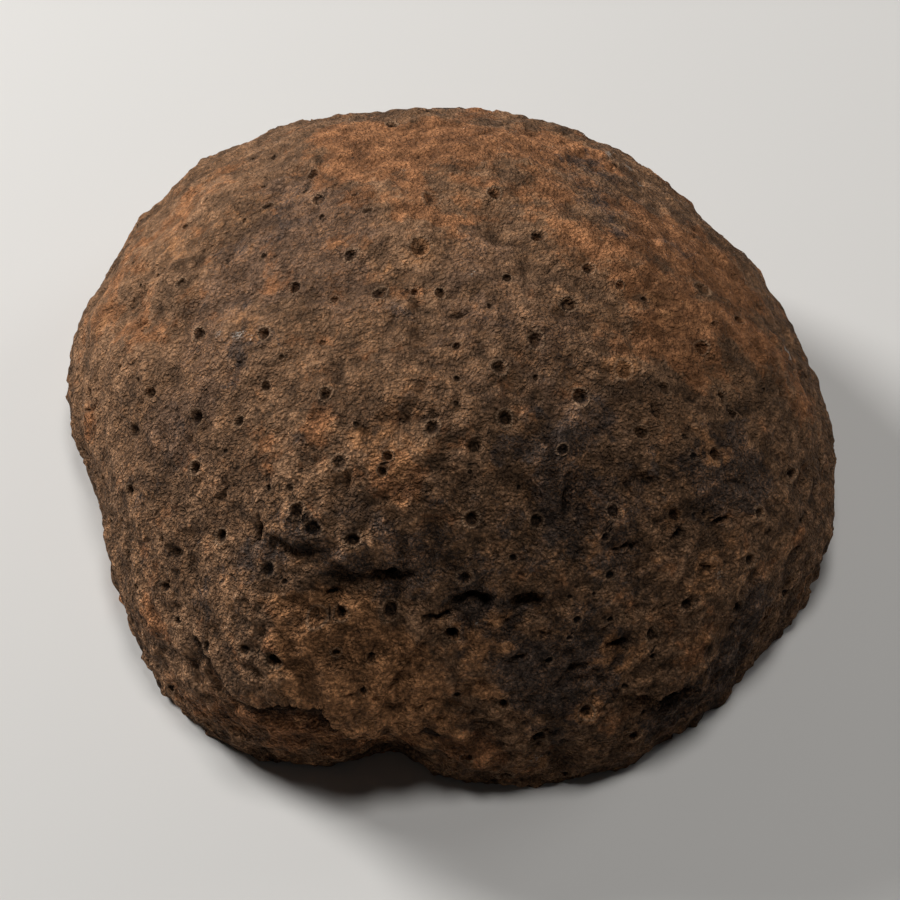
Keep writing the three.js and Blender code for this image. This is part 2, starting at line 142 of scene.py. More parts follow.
# calices of the show face: sheet x, sheet y, width in sheet units
calices = [
    # upper band
    (311, 171, 14), (268, 206, 10), (263, 186, 6), (264, 176, 5), (295, 287, 11), (265, 334, 12),
    (199, 334, 12), (183, 284, 9), (172, 307, 5), (157, 275, 5), (136, 266, 4), (140, 285, 4),
    (319, 199, 12), (305, 190, 5), (322, 217, 6), (225, 173, 6), (206, 202, 9), (184, 225, 7),
    (195, 193, 5), (272, 154, 6), (254, 158, 5), (246, 222, 5), (265, 257, 7), (392, 124, 12),
    (494, 195, 13), (368, 211, 11), (351, 256, 13), (380, 294, 14), (440, 292, 10), (415, 292, 7),
    (420, 249, 19), (432, 200, 16), (508, 275, 9), (538, 237, 13), (568, 305, 14), (546, 146, 8),
    (490, 305, 6), (536, 340, 14), (334, 298, 7), (355, 194, 6), (336, 183, 5), (588, 269, 12),
    (615, 166, 8), (619, 287, 8), (703, 289, 16), (740, 319, 10), (645, 299, 6), (756, 280, 6),
    (714, 324, 5), (672, 213, 5), (523, 319, 4),
    # middle band
    (121, 368, 8), (149, 393, 12), (138, 380, 6), (76, 386, 6), (198, 418, 15), (239, 421, 11),
    (134, 431, 14), (197, 469, 13), (130, 491, 13), (99, 476, 11), (81, 449, 7), (89, 454, 7),
    (226, 451, 5), (270, 488, 8), (290, 488, 7), (267, 475, 5), (264, 384, 10), (281, 357, 6),
    (323, 344, 8), (327, 396, 12), (340, 462, 13), (499, 369, 13), (505, 418, 13), (432, 428, 13),
    (474, 446, 13), (581, 397, 15), (457, 378, 7), (457, 345, 8), (456, 404, 5), (536, 377, 7),
    (356, 424, 5), (388, 456, 9), (382, 471, 8), (561, 451, 10), (623, 371, 17), (702, 347, 13),
    (664, 389, 12), (723, 396, 12), (733, 414, 11), (765, 390, 6), (642, 432, 13), (715, 454, 14),
    (692, 457, 7), (613, 511, 13), (676, 515, 15), (755, 512, 12), (804, 520, 11), (793, 474, 11),
    (824, 463, 11), (681, 532, 10), (605, 537, 9), (749, 560, 13), (610, 575, 10), (797, 570, 7),
    (825, 541, 5), (471, 519, 14), (537, 521, 12), (465, 577, 13), (513, 558, 8), (297, 510, 12),
    (312, 529, 14), (353, 540, 12), (221, 536, 14), (163, 538, 13), (110, 523, 10), (129, 554, 10),
    (520, 487, 5), (684, 437, 6), (470, 472, 5),
    # lower band
    (267, 570, 14), (284, 582, 6), (166, 587, 11), (138, 587, 8), (390, 612, 15), (341, 613, 13),
    (317, 617, 16), (206, 648, 9), (244, 650, 11), (274, 661, 12), (178, 621, 9), (146, 624, 10),
    (195, 612, 4), (202, 615, 4), (336, 652, 8), (363, 688, 8), (371, 657, 8), (403, 717, 10),
    (173, 687, 8), (149, 661, 5), (451, 636, 14), (467, 757, 12), (506, 775, 14), (566, 774, 13),
    (586, 711, 15), (634, 735, 13), (675, 734, 9), (653, 636, 13), (687, 604, 13), (736, 606, 14),
    (786, 594, 11), (764, 618, 9), (577, 619, 9), (611, 620, 7), (570, 597, 6), (594, 594, 5),
    (569, 637, 7), (549, 660, 8), (654, 657, 8), (504, 703, 10), (457, 694, 7), (492, 697, 4),
    (643, 712, 8), (625, 686, 8), (538, 738, 14), (738, 663, 9), (772, 634, 6),
]
# flaked places: sheet x, sheet y, radius mm, strength
scars = [
    (268, 455, 7, 1.0), (280, 372, 6, 0.9), (338, 305, 5, 0.8), (398, 478, 6, 1.0), (130, 306, 6, 0.8),
    (415, 330, 5, 0.7), (590, 500, 8, 0.7), (535, 455, 6, 0.7), (620, 560, 8, 0.7), (560, 640, 8, 0.8),
    (440, 620, 6, 0.8), (690, 620, 7, 0.6), (90, 430, 6, 0.8), (700, 520, 7, 0.7), (400, 700, 6, 0.6),
    (230, 625, 4, 0.8), (540, 230, 5, 0.7), (650, 480, 6, 0.8), (780, 600, 6, 0.8), (450, 640, 4, 0.7),
]
# mm; girth: the radius that sets how many calices the whole dome would hold at this spacing
hiddenCalices = {"spacing": 8.2, "smallest": 1.3, "spread": 1.7, "lowest": 4, "girth": 78}

# depth and rim are shares of the calice's width; one wider than wornFrom, mm, is worn down round a boss
caliceShape = {"depth": 0.48, "rim": 0.11, "rimReach": 0.36, "wornFrom": 3.15, "wornDepth": 0.6,
               "wornShade": 0.8}

# sheet x, sheet y, radius mm, strength
rustPatches = [
    (395, 468, 3, 1.0), (405, 482, 3, 0.8), (150, 240, 14, 0.5), (110, 310, 9, 0.5), (140, 335, 7, 0.45),
    (85, 425, 6, 0.55), (215, 180, 8, 0.45), (335, 135, 9, 0.65), (385, 150, 11, 0.85), (450, 135, 12, 0.8),
    (520, 140, 11, 0.75), (580, 150, 8, 0.9), (405, 195, 7, 0.65), (355, 180, 7, 0.5), (425, 225, 6, 0.5),
    (545, 190, 10, 0.6), (575, 235, 6, 0.7), (640, 225, 9, 0.6), (690, 250, 11, 0.95), (625, 265, 7, 0.6),
    (672, 320, 8, 1.0), (740, 290, 9, 0.65), (690, 345, 6, 0.65), (622, 350, 5, 0.65), (730, 330, 8, 0.55),
    (765, 345, 6, 0.65), (800, 395, 6, 0.75), (255, 300, 6, 0.4), (350, 290, 5, 0.4), (325, 335, 6, 0.3),
    (300, 380, 6, 0.35), (385, 370, 6, 0.35), (320, 425, 5, 0.35), (265, 450, 7, 0.4), (400, 475, 4, 0.6),
    (380, 490, 4, 0.45), (440, 430, 4, 0.35), (150, 560, 6, 0.35), (155, 625, 9, 0.5), (230, 625, 4, 0.4),
    (305, 635, 6, 0.65), (310, 660, 6, 0.6), (360, 635, 5, 0.55), (365, 695, 8, 0.6), (405, 680, 5, 0.6),
    (400, 655, 5, 0.5), (245, 715, 8, 0.65), (330, 735, 8, 0.65), (195, 705, 8, 0.45), (280, 735, 7, 0.45),
    (380, 720, 8, 0.5), (455, 680, 6, 0.45), (440, 745, 8, 0.45), (500, 755, 8, 0.4), (574, 712, 3, 0.8),
    (595, 712, 3, 0.6), (620, 715, 6, 0.4), (695, 655, 6, 0.45), (700, 575, 6, 0.4), (790, 550, 7, 0.35),
    (715, 510, 4, 0.3), (480, 220, 6, 0.35),
]
# tan patches; those on the lower-left terrace above the front ledge also brighten it as painted light
tanAndPaintedLightPatches = [
    (243, 180, 8, 0.9), (262, 152, 7, 0.7), (405, 190, 7, 0.6), (420, 215, 6, 0.6), (285, 165, 6, 0.5),
    (110, 370, 8, 0.9), (100, 410, 8, 0.8), (118, 340, 8, 0.8), (105, 460, 8, 0.7), (118, 510, 7, 0.7),
    (165, 600, 8, 0.7), (160, 655, 9, 1.0), (200, 700, 9, 1.0), (200, 640, 8, 0.7), (245, 735, 8, 0.8),
    (243, 355, 7, 0.8), (165, 350, 8, 0.7), (160, 270, 8, 0.6), (500, 670, 8, 0.7), (500, 720, 8, 0.7),
    (575, 735, 8, 0.7), (620, 700, 7, 0.6), (545, 520, 7, 0.6), (600, 545, 7, 0.6), (655, 590, 7, 0.7),
    (790, 500, 6, 0.5), (740, 525, 6, 0.6), (450, 625, 8, 0.8), (410, 650, 8, 0.8), (330, 645, 9, 0.9),
    (380, 690, 9, 0.9), (300, 680, 7, 0.7), (345, 720, 7, 0.7), (250, 640, 6, 0.5), (285, 445, 8, 0.7),
    (290, 480, 5, 0.5), (385, 470, 5, 0.6), (165, 215, 9, 0.6), (130, 270, 7, 0.5), (80, 350, 7, 0.6),
    (75, 400, 6, 0.6), (100, 310, 6, 0.5), (410, 215, 6, 0.7), (420, 255, 6, 0.6), (490, 270, 5, 0.5),
    (525, 300, 6, 0.5), (500, 350, 6, 0.5), (430, 430, 5, 0.5), (600, 390, 5, 0.5), (680, 300, 7, 0.5),
    (690, 350, 6, 0.5), (785, 400, 6, 0.6), (760, 470, 5, 0.4), (800, 450, 6, 0.6), (660, 580, 7, 0.5),
    (690, 600, 6, 0.5), (640, 630, 6, 0.4), (170, 690, 8, 0.6), (430, 680, 7, 0.5), (144, 255, 8, 0.9),
    (198, 205, 8, 0.8), (86, 350, 7, 0.8), (252, 320, 6, 0.8), (414, 255, 4, 0.9), (684, 320, 8, 0.8),
    (738, 520, 7, 0.7), (625, 520, 6, 0.6),
]
greyPatches = [
    (270, 185, 7, 0.8), (310, 200, 8, 0.9), (345, 225, 8, 0.9), (290, 240, 9, 0.9), (330, 265, 8, 0.8),
    (235, 265, 7, 0.7), (215, 300, 7, 0.7), (270, 300, 8, 0.6), (360, 300, 7, 0.4), (195, 350, 7, 0.6),
    (240, 345, 6, 0.8), (160, 420, 7, 0.6), (200, 400, 7, 0.6), (180, 450, 7, 0.5), (470, 250, 8, 0.6),
    (500, 300, 8, 0.6), (450, 330, 7, 0.4), (530, 380, 8, 0.4), (590, 180, 8, 0.5), (620, 210, 8, 0.5),
    (560, 330, 8, 0.4), (440, 390, 7, 0.4), (590, 420, 8, 0.4), (130, 470, 7, 0.4),
]
# ochre patches; those on the lower-left terrace above the front ledge also brighten it as painted light
ochreAndPaintedLightPatches = [
    (370, 690, 6, 0.9), (385, 662, 6, 0.8), (405, 700, 6, 0.8), (345, 640, 6, 0.5), (430, 720, 5, 0.6),
    (586, 711, 3, 1.3), (620, 660, 4, 0.7), (700, 640, 4, 0.6), (675, 515, 3, 0.7), (715, 454, 3, 0.7),
    (623, 371, 3, 1.1), (420, 249, 3, 1.0), (706, 575, 5, 0.7), (735, 540, 4, 0.6), (610, 640, 4, 0.6),
    (540, 760, 4, 0.5), (484, 690, 4, 0.7), (660, 555, 4, 0.5), (305, 615, 6, 0.8), (325, 640, 7, 1.0),
    (345, 665, 7, 1.0), (365, 690, 7, 1.0), (390, 675, 7, 0.8), (320, 675, 6, 0.9), (345, 715, 6, 0.8),
    (400, 705, 7, 0.7), (300, 690, 5, 0.8), (360, 625, 6, 0.6), (330, 740, 7, 0.4), (415, 735, 6, 0.6),
    (450, 725, 6, 0.5), (465, 655, 6, 0.5), (500, 630, 6, 0.4), (405, 410, 5, 0.5), (372, 440, 5, 0.5),
    (405, 480, 4, 0.6), (245, 325, 5, 0.5), (660, 300, 6, 0.6), (700, 440, 5, 0.5), (590, 560, 6, 0.4),
    (250, 215, 8, 0.4), (165, 250, 7, 0.5), (95, 330, 6, 0.5),
]
# slate-grey patches; the strong ones on the lower right also darken its shadowed side as painted shade
slateAndShadePatches = [
    (285, 210, 11, 0.4), (215, 265, 8, 0.35), (270, 250, 7, 0.3), (230, 340, 8, 0.55), (265, 345, 6, 0.5),
    (345, 245, 6, 0.3), (395, 310, 6, 0.3), (470, 265, 6, 0.3), (485, 320, 7, 0.3), (235, 400, 7, 0.35),
    (175, 455, 9, 0.35), (260, 530, 8, 0.4), (220, 560, 7, 0.3), (345, 525, 7, 0.25), (385, 570, 8, 0.5),
    (330, 660, 4, 0.8), (255, 660, 6, 0.35), (205, 605, 6, 0.35), (415, 530, 7, 0.2), (460, 595, 9, 0.55),
    (525, 465, 9, 0.3), (495, 440, 5, 0.15), (475, 520, 6, 0.2), (510, 570, 8, 0.3), (545, 545, 6, 0.4),
    (595, 430, 6, 0.35), (572, 490, 6, 0.6), (590, 545, 8, 0.6), (640, 545, 8, 0.5), (560, 635, 8, 0.55),
    (560, 685, 9, 0.9), (535, 700, 6, 0.8), (590, 670, 6, 0.7), (510, 670, 6, 0.6), (555, 740, 6, 0.55),
    (735, 470, 8, 1.2), (705, 480, 6, 0.95), (755, 485, 6, 0.8), (745, 415, 5, 0.4), (680, 430, 5, 0.35),
    (650, 480, 6, 0.4), (650, 590, 8, 0.35), (740, 560, 6, 0.35), (750, 610, 7, 0.4), (785, 350, 3, 0.6),
    (605, 660, 5, 0.6), (650, 730, 7, 0.7), (470, 640, 6, 0.4), (600, 610, 6, 0.4), (620, 500, 6, 0.35),
    (690, 700, 8, 1.0), (735, 660, 8, 0.9), (465, 750, 6, 0.8), (430, 530, 6, 0.2), (470, 485, 6, 0.25),
    (140, 480, 8, 0.3), (140, 560, 8, 0.25), (585, 160, 9, 0.55), (610, 200, 10, 0.5), (505, 612, 6, 0.5),
    (545, 195, 8, 0.2), (640, 235, 9, 0.5), (560, 340, 8, 0.45), (545, 440, 9, 0.45), (580, 410, 7, 0.35),
    (700, 720, 9, 0.8), (735, 640, 9, 0.6), (760, 600, 7, 0.4), (300, 540, 7, 0.4), (330, 560, 7, 0.35),
    (410, 560, 8, 0.35), (250, 580, 8, 0.35), (290, 445, 4, 0.3), (560, 670, 7, 0.5), (590, 690, 6, 0.5),
]
paleSpecks = [
    (608, 156, 1.3, 1), (628, 168, 1.5, 1), (641, 182, 1.1, 1), (651, 186, 0.8, 0.8), (627, 201, 0.8, 0.6),
    (693, 240, 0.8, 0.6), (747, 262, 0.9, 0.8), (785, 350, 1.3, 1.4), (789, 359, 1.0, 1.2),
    (220, 336, 1.2, 0.8), (240, 335, 1.4, 0.9), (252, 337, 0.9, 0.7), (474, 272, 0.8, 0.7),
    (301, 245, 0.7, 0.5), (80, 322, 0.8, 0.6), (374, 112, 1.2, 0.6), (538, 760, 1.6, 0.7),
    (476, 625, 0.5, 1.0), (720, 575, 1.5, 0.7), (402, 340, 0.8, 0.5),
]


eyeRise = math.radians(sheet["eyeRise"])
toEye = np.array([0, -math.cos(eyeRise), math.sin(eyeRise)])
sheetUp = np.array([0, math.sin(eyeRise), math.cos(eyeRise)])
aimSpot = np.array([0, 0, sheet["aimHeight"]])
eyeSpot = aimSpot + toEye * sheet["eyeDistance"]
sideTurn = math.radians(coralHead["sideTurn"])
cutCosine = math.cos(sideTurn)


def girthAt(azimuth, height=0):
    # a closed Catmull-Rom curve through the listed radii, rounding to their mean towards the crown
    radii = np.array(coralHead["girthRadii"], float)
    count = len(radii)
    place = (azimuth / (2 * math.pi) * count) % count
    first = np.floor(place).astype(int)
    t = place - first
    a, b, c, d = (radii[(first + step) % count] for step in (-1, 0, 1, 2))
    girth = b + 0.5 * t * (c - a + t * (2 * a - 5 * b + 4 * c - d + t * (3 * (b - c) + d - a)))
    share = coralHead["crownRound"] * np.clip(height / coralHead["height"], 0, 1) ** 2
    return girth + (radii.mean() - girth) * share


def domePoint(turn, azimuth):
    # crown to cut: reach = girth * sin(angle), height falls with cos(angle) until it is 0 at the cut
    angle = turn * sideTurn
    z = coralHead["height"] * (np.cos(angle) - cutCosine) / (1 - cutCosine)
    reach = girthAt(azimuth, z) * np.sin(angle)
    return np.stack([reach * np.cos(azimuth), reach * np.sin(azimuth), z], -1)


def domeGap(p):
    # below 0 inside the bare dome, 0 on it, above 0 outside: (reach / girth)^2 + cos(angle)^2 - 1
    rise = cutCosine + p[..., 2] * (1 - cutCosine) / coralHead["height"]
    reach = np.hypot(p[..., 0], p[..., 1]) / girthAt(np.arctan2(p[..., 1], p[..., 0]), p[..., 2])
    return reach ** 2 + rise ** 2 - 1


def unit(v):
    # each vector over its own length
    return v / np.maximum(np.linalg.norm(v, axis=-1, keepdims=True), 1e-9)


def domeNormal(p):
    # the way domeGap grows fastest, by central differences
    step = 0.05
    return unit(np.stack([domeGap(p + step * axis) - domeGap(p - step * axis) for axis in np.eye(3)], -1))


def spotsOnSheet(places):
    # walk each sight line in 1 mm steps to the first point inside the dome, then halve the step 20 times;
    # a line that misses the dome gives its nearest point
    places = np.array(places, float)[:, :2]
    offset = (places - sheet["middle"]) / sheet["unitsPerMm"]
    target = aimSpot + offset[:, :1] * np.array([1, 0, 0]) - offset[:, 1:] * sheetUp
    sight = unit(target - eyeSpot)
    far = sheet["eyeDistance"] + np.arange(-110, 110, 1.0)   # mm, past both sides of the dome
    gap = domeGap(eyeSpot + sight[:, None] * far[None, :, None])
    hit = gap <= 0
    best = np.where(hit.any(1), hit.argmax(1), gap.argmin(1))
    near, deep = far[best] - 1, far[best]
    for halving in range(20):
        mid = (near + deep) / 2
        outside = domeGap(eyeSpot + sight * mid[:, None]) > 0
        near, deep = np.where(outside, mid, near), np.where(outside, deep, mid)
    return eyeSpot + sight * np.where(hit.any(1), deep, far[best])[:, None]


def onSheet(p):
    # where a point is seen on the sheet: its offset from the aim, smaller the farther it is from the eye
    offset = p - aimSpot
    scale = sheet["unitsPerMm"] * sheet["eyeDistance"] / (sheet["eyeDistance"] - offset @ toEye)
    return sheet["middle"] + np.stack([offset[:, 0] * scale, -(offset @ sheetUp) * scale], -1)


def liftedSpots(places, rise):
    # spots whose lifted points are seen at the places: shift each place by what the lift moved it, twice
    wanted = np.array(places, float)[:, :2]
    moved, spots = wanted.copy(), spotsOnSheet(wanted)
    for turn in range(2):
        moved += wanted - onSheet(spots + domeNormal(spots) * rise(spots)[:, None])
        spots = spotsOnSheet(moved)
    return spots


def spotAtHeight(places):
    # azimuth in degrees and height in mm, on the bare dome
    places = np.array(places, float)
    turn = np.arccos(cutCosine + places[:, 1] * (1 - cutCosine) / coralHead["height"]) / sideTurn
    return domePoint(turn, np.radians(places[:, 0]))


def smoothPath(spots, perSpan=6):
    # Catmull-Rom curve through the spots, with its end spots doubled
    padded = np.vstack([2 * spots[0] - spots[1], spots, 2 * spots[-1] - spots[-2]])
    t = np.linspace(0, 1, perSpan, endpoint=False)[:, None]
    spans = []
    for a, b, c, d in zip(padded, padded[1:], padded[2:], padded[3:]):
        spans.append(b + 0.5 * t * (c - a + t * (2 * a - 5 * b + 4 * c - d + t * (3 * (b - c) + d - a))))
    return np.vstack(spans + [spots[-1:]])


def hashed(ix, iy, iz, seed):
    # mixes three whole numbers and a seed into a number from 0 to 1
    h = (ix * 374761393 + iy * 668265263 + iz * 2147483647 + seed * 974711) & 0xFFFFFFFF
    h = ((h ^ (h >> 13)) * 1274126177) & 0xFFFFFFFF
    h = ((h ^ (h >> 16)) * 2246822519) & 0xFFFFFFFF
    return ((h ^ (h >> 15)) & 0xFFFFFF) / float(0xFFFFFF)


def noise(p, size, seed):
    # value noise from -1 to 1: random values on a lattice of that size in mm, blended by t*t*(3-2t)
    q = p / size + 1000.0
    base = np.floor(q).astype(np.int64)
    t = q - base
    t = t * t * (3 - 2 * t)
    total = np.zeros(p.shape[:-1])
    for cx in (0, 1):
        for cy in (0, 1):
            for cz in (0, 1):
                weight = ((t[..., 0] if cx else 1 - t[..., 0]) * (t[..., 1] if cy else 1 - t[..., 1])
                          * (t[..., 2] if cz else 1 - t[..., 2]))
                total += weight * hashed(base[..., 0] + cx, base[..., 1] + cy, base[..., 2] + cz, seed)
    return 2 * total - 1


def layeredNoise(p, size, octaves, seed):
    # each octave half the size and half the height of the one before
    total = np.zeros(p.shape[:-1])
    for octave in range(octaves):
        if octave:
            x, y, z = p[..., 0], p[..., 1], p[..., 2]
            p = np.stack([0.8 * x + 0.6 * y, 0.8 * y - 0.6 * x, z], -1)
        total += noise(p, size / 2 ** octave, seed + 17 * octave) / 2 ** octave
    return total


def smoothstep(x, low, high):
    # 0 up to low, 1 from high, and t*t*(3-2t) between them, t being the share of the way
    t = np.clip((x - low) / (high - low), 0, 1)
    return t * t * (3 - 2 * t)


def placeByPath(path, p, normal, reach):
    # signed distance from a path, above 0 downhill, share of the way along it, and the way downhill;
    # points farther than reach from the path's box are skipped
    low, high = path.min(0) - reach, path.max(0) + reach
    near = np.nonzero(((p > low) & (p < high)).all(-1))[0]
    q, n = p[near], normal[near]
    away = np.full(len(near), 1e9)
    side, share = np.zeros(len(near)), np.zeros(len(near))
    downhill = np.zeros((len(near), 3))
    for i in range(len(path) - 1):
        along = path[i + 1] - path[i]
        t = np.clip((q - path[i]) @ along / (along @ along), 0, 1)
        offset = q - path[i] - t[:, None] * along
        distance = np.linalg.norm(offset, axis=1)
        down = unit(np.cross(along, n))
        closer = distance < away
        away = np.where(closer, distance, away)
        side = np.where(closer, np.sign((offset * down).sum(1)), side)
        share = np.where(closer, (i + t) / (len(path) - 1), share)
        downhill = np.where(closer[:, None], down, downhill)
    return near, away * side, share, downhill


def waviness(p):
    # a long sine times a long cosine, and a slanting sine over them, so that nowhere is quite even
    long = 0.55 * np.sin(p[:, 0] / 8.3 + 0.4) * np.cos(p[:, 1] / 7.1 + 1.3)
    return long + 0.35 * np.sin((p[:, 0] + p[:, 1]) / 4.9 + p[:, 2] / 5.7)


def ledgeProfile(ledge, past):
    # lip * exp(past / back) uphill, a drop over the face, and a hollow that rises back to nothing at out
    uphill = ledge["lip"] * np.exp(np.minimum(past, 0) / ledge["back"])
    drop = smoothstep(past, 0, ledge["face"])
    hollow = ledge["sunk"] * np.clip(1 - (past - ledge["face"]) / ledge["out"], 0, 1) ** 1.3
    return uphill * (1 - drop) - hollow * drop


def endShare(share):
    # 1 along the middle of a ledge, falling smoothly to 0 at both ends
    return smoothstep(np.minimum(share, 1 - share), 0, coralHead["ledgeEnd"])


def swellLift(p):
    # waviness and a sum of round swells, each height * exp(-distance^2 / (2 * radius^2))
    lift = waviness(p)
    for (x, y, radius, height), spot in zip(swells, swellSpots):
        lift += height * np.exp(-((p - spot) ** 2).sum(1) / (2 * radius ** 2))
    return lift


def broadLift(p):
    # how far swells and ledges lift the bare dome, without the fine relief
    normal = domeNormal(p)
    lift = swellLift(p)
    for ledge, path in ledgePaths:
        near, past, share, downhill = placeByPath(path, p, normal, 3 * ledge["back"])
        lift[near] += ledgeProfile(ledge, past) * endShare(share)
    return lift


def squareToDisc(u, v):
    # concentric map: square rings become circles, the angle growing evenly along each side, so cells
    # stay alike in size
    steep = np.abs(u) > np.abs(v)
    radius = np.where(steep, u, v)
    with np.errstate(divide="ignore", invalid="ignore"):
        angle = np.where(steep, math.pi / 4 * v / u, math.pi / 2 - math.pi / 4 * u / v)
    angle = np.where(radius == 0, 0, angle)
    return np.abs(radius), np.where(radius < 0, angle + math.pi, angle)


def hiddenCaliceSpots():
    # a golden-angle spiral over the dome, each spot shifted a little, kept where the eye can't see it
    goldenAngle = math.pi * (3 - math.sqrt(5))
    area = 2 * math.pi * coralHead["height"] * hiddenCalices["girth"]
    count = round(area / hiddenCalices["spacing"] ** 2)
    i = np.arange(count)

    def shuffle(seed):
        # what stands after the point of a sine times a large number: scattered from 0 to 1
        return (np.sin(i * 12.9898 + seed * 78.233) * 43758.5453) % 1

    share = np.clip((i + 0.5 + 3 * (shuffle(1) - 0.5)) / count, 0, 1)
    turn = np.arccos(1 - share * (1 - cutCosine)) / sideTurn
    spots = domePoint(turn, i * goldenAngle + 0.09 * (shuffle(2) - 0.5))
    widths = hiddenCalices["smallest"] + hiddenCalices["spread"] * shuffle(3)
    facing = (domeNormal(spots) * unit(eyeSpot - spots)).sum(1)
    kept = (facing < -0.06) & (spots[:, 2] > hiddenCalices["lowest"])
    return spots[kept], widths[kept]


swellSpots = spotsOnSheet(swells)
ledgePaths = []
for ledge in ledges:
    spots = liftedSpots(ledge["points"], lambda p: swellLift(p) + ledge["lip"])
    ledgePaths.append((ledge, smoothPath(spots)))
for ledge in hiddenLedges:
    ledgePaths.append((ledge, smoothPath(spotAtHeight(ledge["points"]))))


def patchMask(p, patches):
    # a sum of soft round spots, each strength * exp(-distance^2 / radius^2)
    total = np.zeros(len(p))
    for (x, y, radius, strength), spot in zip(patches, liftedSpots(patches, broadLift)):
        total += strength * np.exp(-((p - spot) ** 2).sum(1) / radius ** 2)
    return total


# how strongly the grid is drawn in towards each kind of form, and over how far, mm
gridPull = {"ledge": 0.7, "ledgeReach": 3.2, "crack": 0.6, "crackReach": 1.8, "calice": 0.5, "slot": 0.35}

skinRelief = {
    # height mm, size mm and number of each noise
    "lumps": [(0.60, 11, 4), (0.55, 5.3, 5)],
    "crumbs": [(0.42, 2.9, 6), (0.36, 1.7, 7), (0.22, 1.05, 8)],
    "flakeDepth": 0.65,       # mm
    "nickDepth": 0.5,         # mm
    "layerHeight": 4.2,       # mm between the edges of thin growth layers
    "layerStep": 0.50,        # mm
}


def drawInGrid(p, normal, freed, crackPaths, slotSpots, caliceSpots, widths):
    # points move towards a form by offset * share * exp(-(distance / reach)^2), so its cells are finer
    def pull(near, offset, share, reach):
        distance = np.linalg.norm(offset, axis=1)
        p[near] -= offset * (share * np.exp(-(distance / reach) ** 2) * freed[near])[:, None]

    for ledge, path in ledgePaths:
        near, past, share, downhill = placeByPath(path, p, normal, 12)
        pull(near, downhill * past[:, None], gridPull["ledge"] * endShare(share), gridPull["ledgeReach"])
    for width, depth, path in crackPaths:
        near, past, share, downhill = placeByPath(path, p, normal, 6)
        pull(near, downhill * past[:, None], gridPull["crack"], gridPull["crackReach"])
    for spot, width in zip(caliceSpots, widths):
        near = np.nonzero((np.abs(p - spot) < 4 + width).all(1))[0]
        pull(near, p[near] - spot, gridPull["calice"], 0.8 * width + 0.6)
    for (x, y, halfLength, *rest), spot in zip(slots, slotSpots):
        near = np.nonzero((np.abs(p - spot) < 8).all(1))[0]
        pull(near, p[near] - spot, gridPull["slot"], halfLength / sheet["unitsPerMm"])


def layLedges(p, normal, freed, ragged):
    # each ledge adds its profile past its ragged path and slides its lip out over the drop; pastLip is the
    # distance past the nearest lip, in shares of how far the painted shadow and dirt below that lip reach
    lift, slide = np.zeros(len(p)), np.zeros_like(p)
    lipShare, pastLip = np.zeros(len(p)), np.full(len(p), 9.0)
    for ledge, path in ledgePaths:
        near, past, share, downhill = placeByPath(path, p, normal, 3 * ledge["back"])
        ends = endShare(share)
        past = past + ragged[near] * np.exp(-(past / 6) ** 2)
        lift[near] += ends * ledgeProfile(ledge, past)
        over = ledge["over"] * ends * np.exp(-((past + 0.1) / 0.8) ** 2) * freed[near]
        slide[near] += downhill * over[:, None]
        past = past / (ledge["dark"] * (0.25 + 0.75 * ends))
        nearer = np.abs(past) < np.abs(pastLip[near])
        pastLip[near[nearer]] = past[nearer]
        # how dark the painted shadow and dirt below this lip are, fading out at the ledge's ends
        shadowAndSoilEnds = smoothstep(np.minimum(share, 1 - share)[nearer], 0, 0.10)
        lipShare[near[nearer]] = shadowAndSoilEnds * ledge["shadowAndSoil"]
    return lift, slide, lipShare, np.clip(pastLip, -9, 9)


def roughenSkin(p, rough):
    # the height of the stony skin: a sum of noises, less flaked scars and nicks, plus thin growth layers
    seed = coralHead["seed"]
    patchy = (0.55 + 0.45 * rough) * (0.95 + 0.4 * noise(p, 17, seed + 3))
    lift = sum(tall * noise(p, size, seed + number) for tall, size, number in skinRelief["lumps"])
    crumbs = sum(tall * noise(p, size, seed + number) for tall, size, number in skinRelief["crumbs"])
    lift += patchy * crumbs
    # scars: a layered noise cut off below a level, deeper round the named spots
    flake = layeredNoise(p, 5.0, 3, seed + 9) + 0.5 * patchMask(p, scars)
    uneven = 0.8 + 0.5 * noise(p, 1.2, seed + 10)
    lift -= skinRelief["flakeDepth"] * smoothstep(flake, 0.50, 0.80) * uneven
    # nicks: low places of a noise stretched along the skin
    bent = p + 1.3 * np.stack([noise(p, 3.7, seed + number) for number in (15, 16, 17)], -1)
    nicks = smoothstep(noise(bent * [0.45, 1, 1.3], 2.2, seed + 18), 0.62, 0.90)
    lift -= skinRelief["nickDepth"] * nicks
    # growth layers breaking off along the slope: a sawtooth of the height, bent by noise and broken up
    bentHeight = p[:, 2] + 2.6 * noise(p, 9, seed + 11) + 1.0 * noise(p, 3, seed + 14)
    layer = bentHeight / skinRelief["layerHeight"]
    saw = layer - np.floor(layer)
    scales = smoothstep(noise(p, 6.5, seed + 12), -0.1, 0.5)
    lift += skinRelief["layerStep"] * scales * (smoothstep(saw, 0.0, 0.12) - saw)
    return lift, crumbs, nicks


def cutCracks(p, normal, ragged, crackPaths):
    # depth * exp(-(distance / width)^2) across each crack, dying away over a quarter of it at both ends
    lift, shade = np.zeros(len(p)), np.zeros(len(p))
    for width, depth, path in crackPaths:
        near, past, share, downhill = placeByPath(path, p, normal, 6)
        ends = smoothstep(np.minimum(share, 1 - share), 0, 0.25)
        cut = ends * np.exp(-((past + 0.35 * ragged[near]) / width) ** 2)
        lift[near] -= depth * cut
        shade[near] += 0.8 * cut
    return lift, shade


